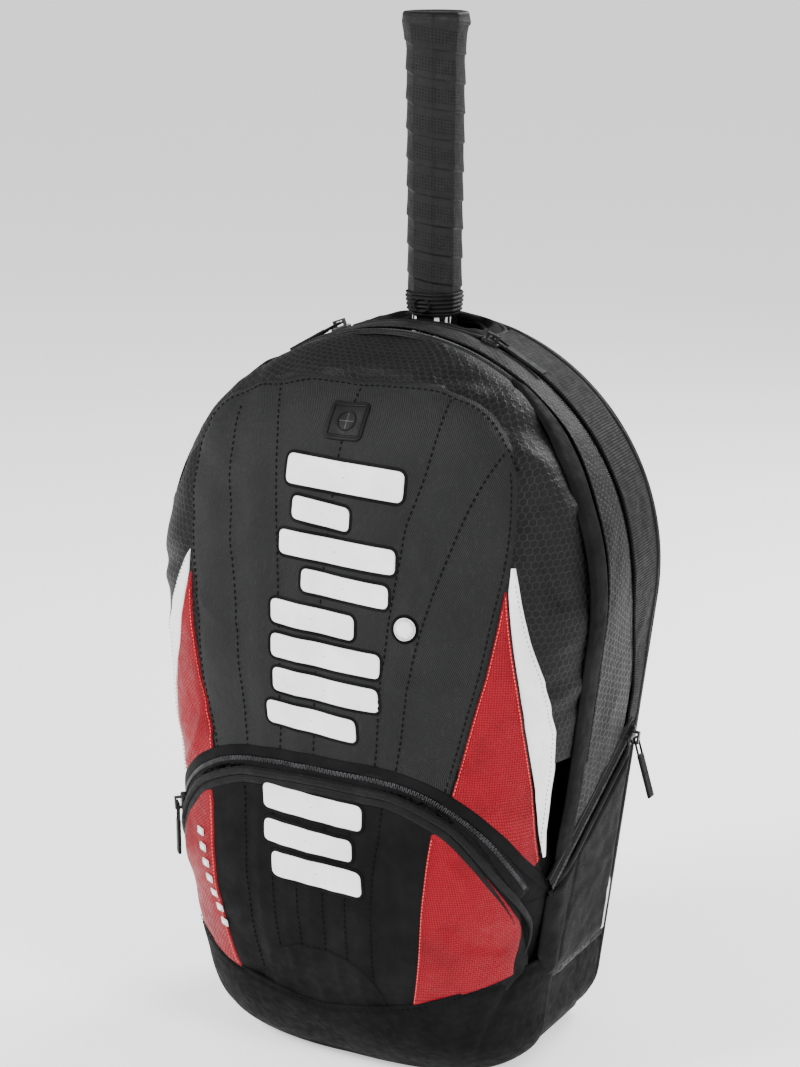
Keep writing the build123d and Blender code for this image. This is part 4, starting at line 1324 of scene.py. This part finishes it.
def side_pocket(side, turn):
    body = f"side_pocket_{side}"
    y = np.linspace(-30, 80, 60)[None, :] + np.zeros((60, 1))
    foot, top = side_foot(y), side_top(y)
    z = foot + (top - foot) * np.linspace(0, 1, 60)[:, None]
    P = side_point(y, z, side_lift(y, z), turn)
    put(cloth(f"side_pocket_cloth_{side}", P, BLACK, 1.5, flip=turn < 0), body, "black_nylon", body)

    outward = [turn * math.cos(LEAN), 0, math.sin(LEAN)]
    y = np.linspace(-28, 79, 60)
    lift = 5.2 * np.sin(np.clip((y + 30) / 30, 0.1, 1) * math.pi / 2) * np.clip((82 - y) / 14, 0.2, 1)
    cord(f"side_pocket_hem_{side}", body, (side_point(y, side_top(y) - 0.5, lift, turn), outward, 2.1, 1.7))

    line = side_point(np.linspace(-30, 80, 90), 148 + np.linspace(0, 84, 90), 3.0, turn)
    tape = band(f"side_zip_tape_{side}", line, outward, SIDE_TAPE, TAPE)
    put(tape, "bag", "zip_coil", f"side_zip_{side}")
    coil(f"side_zip_teeth_{side}", line, outward, pitch=1.7, width=4.2, lift=1.0)
    cord(f"side_zip_piping_{side}", "bag", (line + [0, -5.2, 6.8], outward, 1.9, 1.5))

    def on_pocket(u, v, h):
        return side_point(u, v, h + side_lift(u, v), turn)

    tag = Batch()
    applique(tag, rounded([(66, 112), (77, 118), (77, 84), (69, 78)], 1.5, 1.0), 0.5, 0.5, on_pocket)
    put(tag.done(f"side_tag_{side}", WHITE), body, "black_nylon")


for side, turn in SIDES:
    side_pocket(side, turn)


# ---------------------------------------------------------------- racket
HANDLE_Y = 68.5
GRIP_LOW, GRIP_TOP = 526.0, 712.0
FRONTWARD = -math.pi / 2
OCTAGON_SHARE, ROUND_SHARE = 0.62, 0.38 * 1.04


def handle_radius(angle, across):
    """Radius of the softened octagon that is a stated width across its flats."""
    flat = across / 2
    k = np.round(angle / (math.pi / 4))
    octagon = flat / np.cos(angle - k * math.pi / 4)
    return OCTAGON_SHARE * octagon + ROUND_SHARE * flat


def round_handle(r, angle, z):
    return np.stack([r * np.cos(angle), HANDLE_Y + r * np.sin(angle), z + 0 * angle], axis=-1)


angle = np.linspace(math.pi / 2, math.pi / 2 + 2 * math.pi, 97)[None, :]
z = np.linspace(GRIP_LOW, GRIP_TOP, 420)[:, None]
phase = (z - GRIP_LOW) / WRAP + (angle - math.pi / 2) / (2 * math.pi)
frac = phase - np.floor(phase)
across = np.interp(z, [526, 560, 640, 690, 700, 708, 712], [34.2, 34.8, 36.2, 37.2, 39.5, 43.0, 42.6])
wraps = (1 - frac) ** 1.4 * ramp(frac, 0.05) + 0.15 * bumps(angle * 18, z, 9, 7, 61)
wraps = wraps * ramp(z - GRIP_LOW, 3) * ramp(GRIP_TOP - z, 6)
P = round_handle(handle_radius(angle, across) + wraps, angle, z)
grip = Batch()
grip.grid(P, wrap=False, uv=np.stack([(angle + 0 * z) * 18, phase * WRAP], axis=-1))
put(grip.done("overgrip_wrap", GRIP), "racket", "overgrip", "racket_grip")


def handle_rings(rings):
    """A turned part round the handle; each ring is (width across the flats, height)."""
    batch, a = Batch(), angle[0, :-1]
    batch.grid(np.array([round_handle(handle_radius(a, size), a, height) for size, height in rings]))
    return batch


CAP = ((42.6, 711.6), (42.4, 713.2), (41.2, 714.5), (39.0, 715.0), (34, 714.8), (30, 714.2), (24, 714.0), (10, 714.2),
       (1, 714.3))
put(handle_rings(CAP).done("butt_end", RUBBER), "racket", "overgrip", "butt_cap")

height = np.linspace(511.6, 527.2, 90)
rib = 0.9 * (0.5 + 0.5 * np.cos((height - 512) * 2 * math.pi / 2.9)) ** 0.6
size = np.interp(height, [511.6, 514, 524, 527.2], [32.2, 35.4, 37.6, 36.6]) + 2 * rib - 0.8
collar = handle_rings(zip(size, height))
oval = np.linspace(0, 2 * math.pi, 33)
oval_angle = FRONTWARD + 5.4 * np.cos(oval) / 18.5
path = round_handle(handle_radius(oval_angle, 38.6), oval_angle, 519.5 + 4.6 * np.sin(oval))
collar.grid(tube(path, unit(path - [0, HANDLE_Y, 519.5]) * [1, 1, 0.001], 0.7, 0.7, 8))
put(collar.done("collar_ribs", RUBBER), "racket", "overgrip", "grip_collar")

marks = Batch()
z = np.linspace(497, 510.5, 8)[:, None]
for turned_by, wide in ((0, 0.9), (0.85, 0.5), (-0.85, 0.5)):
    for half in (-1, 1):
        middle = FRONTWARD + turned_by + half * (wide * 0.5 + (z - 504) * 0.012)
        a = middle + np.linspace(-0.16, 0.16, 6)[None, :]
        marks.grid(round_handle(handle_radius(a, 29.35) / (OCTAGON_SHARE + ROUND_SHARE) + 0.12, a, z), wrap=False)
put(marks.done("neck_marks", WHITE), "racket", "frame_paint")


# ---------------------------------------------------------------- mouth of the racket room
def squared(value, power):
    """A cosine or sine bent so that a circle becomes a rounded rectangle."""
    return np.sign(value) * np.abs(value) ** (2 / power)


def mouth_ring(k):
    """A ring of the gathered lip, from its seam (0) to its inner edge (1)."""
    turn = np.linspace(0, 2 * math.pi, 97)[:-1]
    power = 4 - 1.6 * k
    x = (52.5 - 14.0 * k) * squared(np.cos(turn), power)
    y = 61.5 + 6.2 * k + (25.0 - 6.2 * k) * squared(np.sin(turn), power)
    z = SHOULDER_Z + np.sqrt((SHOULDER_R + 0.5) ** 2 - x * x) + 3.2 * np.sin(k * math.pi) - 3.0 * k**3
    return np.stack([x, y, z + 0.9 * np.sin(turn * 9) * k * (1 - 0.4 * k)], -1)


lip = Batch()
lip.grid(np.array([mouth_ring(k) for k in np.linspace(0, 1, 16)]))
put(lip.done("mouth_lip", BLACK), "bag", "black_nylon")
outer, inner = closed(mouth_ring(0)) + [0, 0, 0.8], closed(mouth_ring(1))
mouth = [0, 61.5, 345]
cord("mouth_piping", "bag", (outer, unit(outer - mouth), 2.0, 1.8), (inner, unit(inner - mouth), 1.5, 1.5))


# ---------------------------------------------------------------- divider and back panel
def outline_at(inset):
    """The bag's front-view outline, closed along the bottom."""
    p, n = at_gusset(np.linspace(0, G_END, 260))
    p = p - n * inset
    floor = np.stack([np.linspace(p[-1, 0], p[0, 0], 60)[1:-1], np.full(58, p[0, 1])], 1)
    return np.vstack([p, floor])


RING_SIZES = np.r_[0.0005, np.linspace(0.02, 0.9, 40), np.linspace(0.915, 1.0, 14)]


def board(name, mat, flat, front_y, rear_y):
    """A flat panel the shape of the bag, with two faces."""
    batch, x, z = Batch(), flat[..., 0], flat[..., 1]
    batch.grid(np.stack([x, front_y + 0 * x, z], -1), uv=flat)
    batch.grid(np.stack([x, rear_y + 0 * x, z], -1), flip=True, uv=flat)
    return batch.done(name, mat)


flat = fan(outline_at(7.0), np.array([0, 250.0]), RING_SIZES)
x, z = flat[..., 0], flat[..., 1]
quilt = np.minimum(np.abs(np.sin(x * math.pi / 78)), np.abs(np.sin((z - 40) * math.pi / 95))) ** 0.5
y = 41.0 - 1.6 * quilt - 0.7 * bumps(x, z, 50, 60, 71)
put(board("divider_cloth", LINING, flat, y, y + 3.0), "bag", "black_nylon", "divider_panel")

flat = fan(outline_at(0.4), np.array([0, 250.0]), RING_SIZES)
x, z = flat[..., 0], flat[..., 1]
channels = ridge(x, 5.0) + ridge(np.abs(x) - 108, 4.0) + ridge(z - 128, 4.0) * (np.abs(x) < 108)
y = 95.2 - 5.5 * ramp(RING_SIZES[:, None] - 0.96, 0.04) ** 2 - 1.3 * np.clip(channels, 0, 1)
y = y + 0.5 * bumps(x, z, 44, 52, 73)
put(board("back_panel_cloth", RIBBED, flat, 88.5, y), "bag", "mesh", "back_panel", "frame_sheet")
P = np.insert(closed(outline_at(1.6)), 1, 92.8, axis=1)
cord("back_piping", "bag", (P, unit(P - np.array([0, 60.0, 250.0])), 2.4, 2.4))


# ---------------------------------------------------------------- padded pieces, by cloth simulation
def pad_outline(x0, x1, z0, z1, radius, waist=0.0):
    mid = (z0 + z1) / 2
    corners = [(x0, z0), (x1, z0), (x1 - waist, mid), (x1, z1), (x0, z1), (x0 + waist, mid)]
    return rounded(corners, radius, 3.0)


def thin_pad(name, outline, y0, y1, mat):
    """A closed pad, thinner than its finished depth, with even small faces."""
    sizes = np.r_[np.linspace(0.03, 0.86, 18), 0.92, 0.965, 1.0]
    flat = fan(outline, outline.mean(axis=0), sizes)
    x, z = flat[..., 0], flat[..., 1]
    mid, half = (y0 + y1) / 2, (y1 - y0) / 2 * 0.72
    swell = half * (0.25 + 0.75 * ramp(1.0 - sizes[:, None], 0.14) ** 0.5) + 0 * x
    batch = Batch()
    batch.grid(np.stack([x, mid + swell, z], -1), flip=True)
    batch.grid(np.stack([x, mid - swell, z], -1))
    obj = batch.done(name, mat)
    m, n = len(outline), len(sizes)
    bm = bmesh.new()
    bm.from_mesh(obj.data)
    bm.verts.ensure_lookup_table()
    for k in range(m):
        j = (k + 1) % m
        edge = [(n - 1) * m + k, (n - 1) * m + j, (2 * n - 1) * m + j, (2 * n - 1) * m + k]
        bm.faces.new([bm.verts[q] for q in edge])
    for first in (0, n * m):
        bm.faces.new([bm.verts[first + q] for q in range(m)])
    bmesh.ops.recalc_face_normals(bm, faces=bm.faces)
    bm.to_mesh(obj.data)
    bm.free()
    bpy.context.view_layer.objects.active = obj
    remesh = obj.modifiers.new("remesh", "REMESH")
    remesh.mode = "VOXEL"
    remesh.voxel_size = 0.0034
    old = obj.data
    new = evaluated_mesh(obj)
    obj.modifiers.clear()
    obj.data = new
    bpy.data.meshes.remove(old)
    return obj


def evaluated_mesh(obj):
    return bpy.data.meshes.new_from_object(obj.evaluated_get(bpy.context.evaluated_depsgraph_get()))


def corners_of(mesh):
    """A mesh's vertices, in metres."""
    flat = np.empty(len(mesh.vertices) * 3)
    mesh.vertices.foreach_get("co", flat)
    return flat.reshape(-1, 3)


def blow_up(obj, most):
    """Vertices after cloth simulation under pressure, each moved no further than most millimetres."""
    start, frames = corners_of(obj.data), 20
    modifier = obj.modifiers.new("cloth", "CLOTH")
    settings = modifier.settings
    settings.use_pressure = True
    settings.uniform_pressure_force = 4.0
    settings.effector_weights.gravity = 0
    settings.quality = 4
    settings.tension_stiffness = settings.compression_stiffness = 30
    settings.bending_stiffness = 0.6
    modifier.point_cache.frame_start = 1
    modifier.point_cache.frame_end = frames
    for number in range(1, frames + 1):
        bpy.context.scene.frame_set(number)
    blown = evaluated_mesh(obj)
    move = corners_of(blown) - start
    obj.modifiers.clear()
    bpy.data.meshes.remove(blown)
    bpy.context.scene.frame_set(1)
    length = np.linalg.norm(move, axis=1, keepdims=True)
    return start + move * np.minimum(1, most * 0.001 / np.clip(length, 1e-9, None))


def stuffed(name, outline, y0, y1, body, node, most, seams):
    """A foam pad: cloth simulation blows it up, then its seams are pressed in."""
    obj = thin_pad(name, outline, y0, y1, MESH)
    points = blow_up(obj, most) * 1000
    x, y, z = points.T
    mid = (y0 + y1) / 2
    press = np.zeros(len(points))
    for line, depth, width in seams:
        press = np.maximum(press, depth * ridge(distance_to(x, z, line), width))
    press = press + 0.9 * ridge(distance_to(x, z, closed(outline, 1)) - 5.5, 1.6)
    y = y - np.sign(y - mid) * np.minimum(press, np.abs(y - mid) * 0.8) + 0.25 * bumps(x, z, 34, 40, 77)
    y = np.clip(y, y0 - 0.2, y1 + 1.2)
    mesh = obj.data
    mesh.vertices.foreach_set("co", (np.stack([x, y, z], 1) * 0.001).ravel())
    mesh.update()
    mesh.polygons.foreach_set("use_smooth", [True] * len(mesh.polygons))
    mesh.materials.clear()
    mesh.materials.append(MESH)
    smooth = obj.modifiers.new("smooth", "SUBSURF")
    smooth.levels = smooth.render_levels = 1
    put(obj, body, "mesh", node)


REARWARD = [0, 1.0, 0]
THREAD_SIZES = (3.4, 2.2, 0.36)
STRAP_SECTION = [(-12.5, -0.6), (-12, 0.9), (12, 0.9), (12.5, -0.6)]


def shoulder_strap(side, turn):
    """The foam, trim, webbing and stitching of a shoulder strap."""
    body, centre_x = f"shoulder_strap_{side}", 64.0 * turn
    shape = pad_outline(36.5, 91.5, 211, 461, 17, 1.5) * [turn, 1]
    seam = np.array([(centre_x, 240.0), (centre_x, 436.0)])
    stuffed(f"shoulder_pad_{side}_foam", shape, 103.2, 112.8, body, f"shoulder_pad_{side}", 2.6, [(seam, 0.9, 2.2)])
    P = np.insert(closed(shape), 1, 108.0, axis=1)
    cord(f"shoulder_trim_{side}", body, (P, unit(P - np.array([centre_x, 108.0, 336.0])), 2.2, 1.8))
    line = smooth_path([(centre_x, 112.6, 214), (centre_x, 113.3, 330), (centre_x, 112.8, 452)], 3.0)
    put(band(f"shoulder_webbing_{side}", line, REARWARD, STRAP_SECTION, WEBBING), body, "webbing")
    thread = Batch()
    for offset in (-10.6, 10.6):
        stitch_row(thread, line + [offset, 1.0, 0], REARWARD, *THREAD_SIZES)
    for z in (226, 300, 374, 440):
        across = smooth_path([(54 * turn, 114.0, z), (74 * turn, 114.0, z)], 1.0)
        stitch_row(thread, across, REARWARD, 2.0, 1.5, 0.36, 0.0)
    put(thread.done(f"shoulder_stitching_{side}", GREY_THREAD), body, "webbing")


for side, turn in SIDES:
    shape = pad_outline(17.5, 96, 134, 428, 22) * [turn, 1]
    lines = [(smooth_path([(24, z), (57, z - 5), (90, z)], 4.0) * [turn, 1], 1.6, 3.0) for z in (206, 281, 356)]
    stuffed(f"back_pad_{side}_foam", shape, 96.3, 103.2, "bag", f"back_pad_{side}", 2.4, lines)
    shoulder_strap(side, turn)
lines = [(np.array([(x, 84.0), (x, 120.0)]), 1.5, 2.6) for x in (-42.0, 0.0, 42.0)]
stuffed("lumbar_foam", pad_outline(-83, 83, 82, 122, 14), 96.3, 104.4, "bag", "lumbar_pad", 2.6, lines)


# ---------------------------------------------------------------- sewn bands, webbing, haul loop
def sewn_band(name, outline, y0, y1, mat, slot, node, puff=0.6):
    """A flat sewn piece on the back: rounded rim, slight crown, a row of stitches."""
    middle, size = centre_and_size(outline)
    levels = [(1.0, y0), (1.0, y1 - 1.2), (1 - 0.5 / size, y1 - 0.4), (1 - 1.4 / size, y1)]
    levels += [(k, y1 + puff * (1 - k)) for k in np.linspace(0.92, 0.03, 12)]
    flat = fan(outline, middle, [k for k, _ in levels])
    rings = np.array([np.insert(p, 1, y, axis=1) for p, (_, y) in zip(flat, levels)])
    batch, thread = Batch(), Batch()
    batch.grid(rings, flip=True, uv=flat)
    put(batch.done(name, mat), "bag", slot, node)
    line = np.insert(closed(grown(outline, -3.0), 1), 1, y1 + 0.05, axis=1)
    stitch_row(thread, line, REARWARD, *THREAD_SIZES)
    put(thread.done(name + "_stitching", GREY_THREAD), "bag", "webbing")


yoke = rounded([(-97, 442), (97, 442), (91, 473), (-91, 473)], 7)
sewn_band("strap_yoke_cloth", yoke, 95.5, 101.2, BLACK, "black_nylon", "strap_yoke")
tab = rounded([(-29.5, 479), (29.5, 479), (29.5, 493), (-29.5, 493)], 3)
sewn_band("haul_tab_cloth", tab, 93.5, 101.0, WEBBING, "webbing", "haul_loop_tab", puff=0.2)
LOWER_SECTION = [(-12.5, -0.5), (-12.2, 0.6), (-6, 0.8), (6, 0.8), (12.2, 0.6), (12.5, -0.5)]
for side, turn in SIDES:
    shape = rounded([(92.5 * turn, 66), (104 * turn, 43), (117.5 * turn, 50), (108 * turn, 75.5)], 4)
    anchor = f"lower_anchor_{side}"
    sewn_band(f"lower_anchor_cloth_{side}", shape, 94.5, 101.8, BLACK, "black_nylon", anchor, puff=0.3)
    points = [(64.5, 103.4, 170), (78, 103.8, 136), (92, 103.6, 96), (104.5, 103.2, 61)]
    route = smooth_path([(x * turn, y, z) for x, y, z in points])
    strip = band(f"lower_webbing_{side}", route, REARWARD, LOWER_SECTION, WEBBING, 0.9)
    put(strip, "bag", "webbing", f"strap_webbing_{side}")

half_loop = [(0, 103.2, 447.5), (12, 103.4, 448.5), (24, 103.6, 455), (26.3, 103.4, 470), (26, 103.2, 485)]
loop_line = smooth_path([(-x, y, z) for x, y, z in half_loop[:0:-1]] + half_loop, 1.5)
section = [(-5, -0.6), (-4.4, 0.9), (0, 1.3), (4.4, 0.9), (5, -0.6), (4.4, -1.0), (0, -1.1), (-4.4, -1.0)]
loop = Batch()
loop.grid(sweep(loop_line, REARWARD, section))
loop.cap(range(loop.n - len(section), loop.n))
loop.cap(range(len(section)), flip=True)
put(loop.done("haul_loop_webbing", WEBBING), "haul_loop", "webbing", "haul_loop")

# ---------------------------------------------------------------- better materials on the rigid CAD parts
LOOKS = {
    "zip_slider": METAL,
    "zip_pull": RUBBER,
    "ladder_lock": BUCKLE,
    "racket_frame": LACQUER,
    "racket_strings": STRINGS,
    "base_board": BOARD,
    "frame_sheet": BOARD,
}
for name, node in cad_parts.items():
    for start, mat in LOOKS.items():
        if name.startswith(start):
            for place in node.material_slots:
                place.material = mat


# ---------------------------------------------------------------- camera, light, floor
PHOTO_HEIGHT = 1067  # pixels


def set_camera():
    """The photo's viewpoint, as azimuth, elevation and distance from a target in metres."""
    azimuth, elevation, distance = math.radians(28.5), math.radians(16.19), 1.70724
    target = Vector((0, 0, 0.31905))
    flat = math.cos(elevation)
    back = Vector((math.sin(azimuth) * flat, -math.cos(azimuth) * flat, math.sin(elevation)))
    data = bpy.data.cameras.new("camera")
    data.sensor_width = 36
    data.lens = 18 / math.tan(math.radians(24.35) / 2)
    data.shift_x = 12.73 / PHOTO_HEIGHT
    data.shift_y = 70.51 / PHOTO_HEIGHT
    data.clip_start = 0.05
    camera = bpy.data.objects.new("camera", data)
    camera.location = target + back * distance
    camera.rotation_euler = back.to_track_quat("Z", "Y").to_euler()
    bpy.context.collection.objects.link(camera)
    bpy.context.scene.camera = camera


def set_light():
    world = bpy.data.worlds.new("studio")
    world.use_nodes = True
    world.node_tree.nodes["Background"].inputs[0].default_value = (1, 1, 1, 1)
    world.node_tree.nodes["Background"].inputs[1].default_value = 0.6
    bpy.context.scene.world = world
    for name, place, size, power in (
        ("key", (-1.5, -1.7, 1.9), 0.9, 105),
        ("fill", (2.1, -0.9, 1.5), 0.8, 55),
        ("rim", (0.6, 1.7, 1.6), 0.9, 55),
    ):
        data = bpy.data.lights.new(name, "AREA")
        data.size = size
        data.energy = power
        lamp = bpy.data.objects.new(name, data)
        lamp.location = place
        lamp.rotation_euler = (Vector(place) - Vector((0, 0, 0.3))).to_track_quat("Z", "Y").to_euler()
        bpy.context.collection.objects.link(lamp)


def set_floor():
    mesh = bpy.data.meshes.new("floor")
    mesh.from_pydata([(-60, -60, 0), (60, -60, 0), (60, 60, 0), (-60, 60, 0)], [], [(0, 1, 2, 3)])
    floor = bpy.data.objects.new("floor", mesh)
    floor.location = (0, 0, -0.0005)
    bpy.context.collection.objects.link(floor)
    m = Finish("floor")
    pale = m.mix(m.noise(900, 2), (0.88, 0.88, 0.88), (0.92, 0.92, 0.92))
    m.put(m.shader.inputs["Emission Color"], (1.0, 1.0, 1.0))
    mesh.materials.append(m.done(pale, 0.8, Emission_Strength=0.75))


set_camera()
set_light()
set_floor()
bpy.context.view_layer.update()
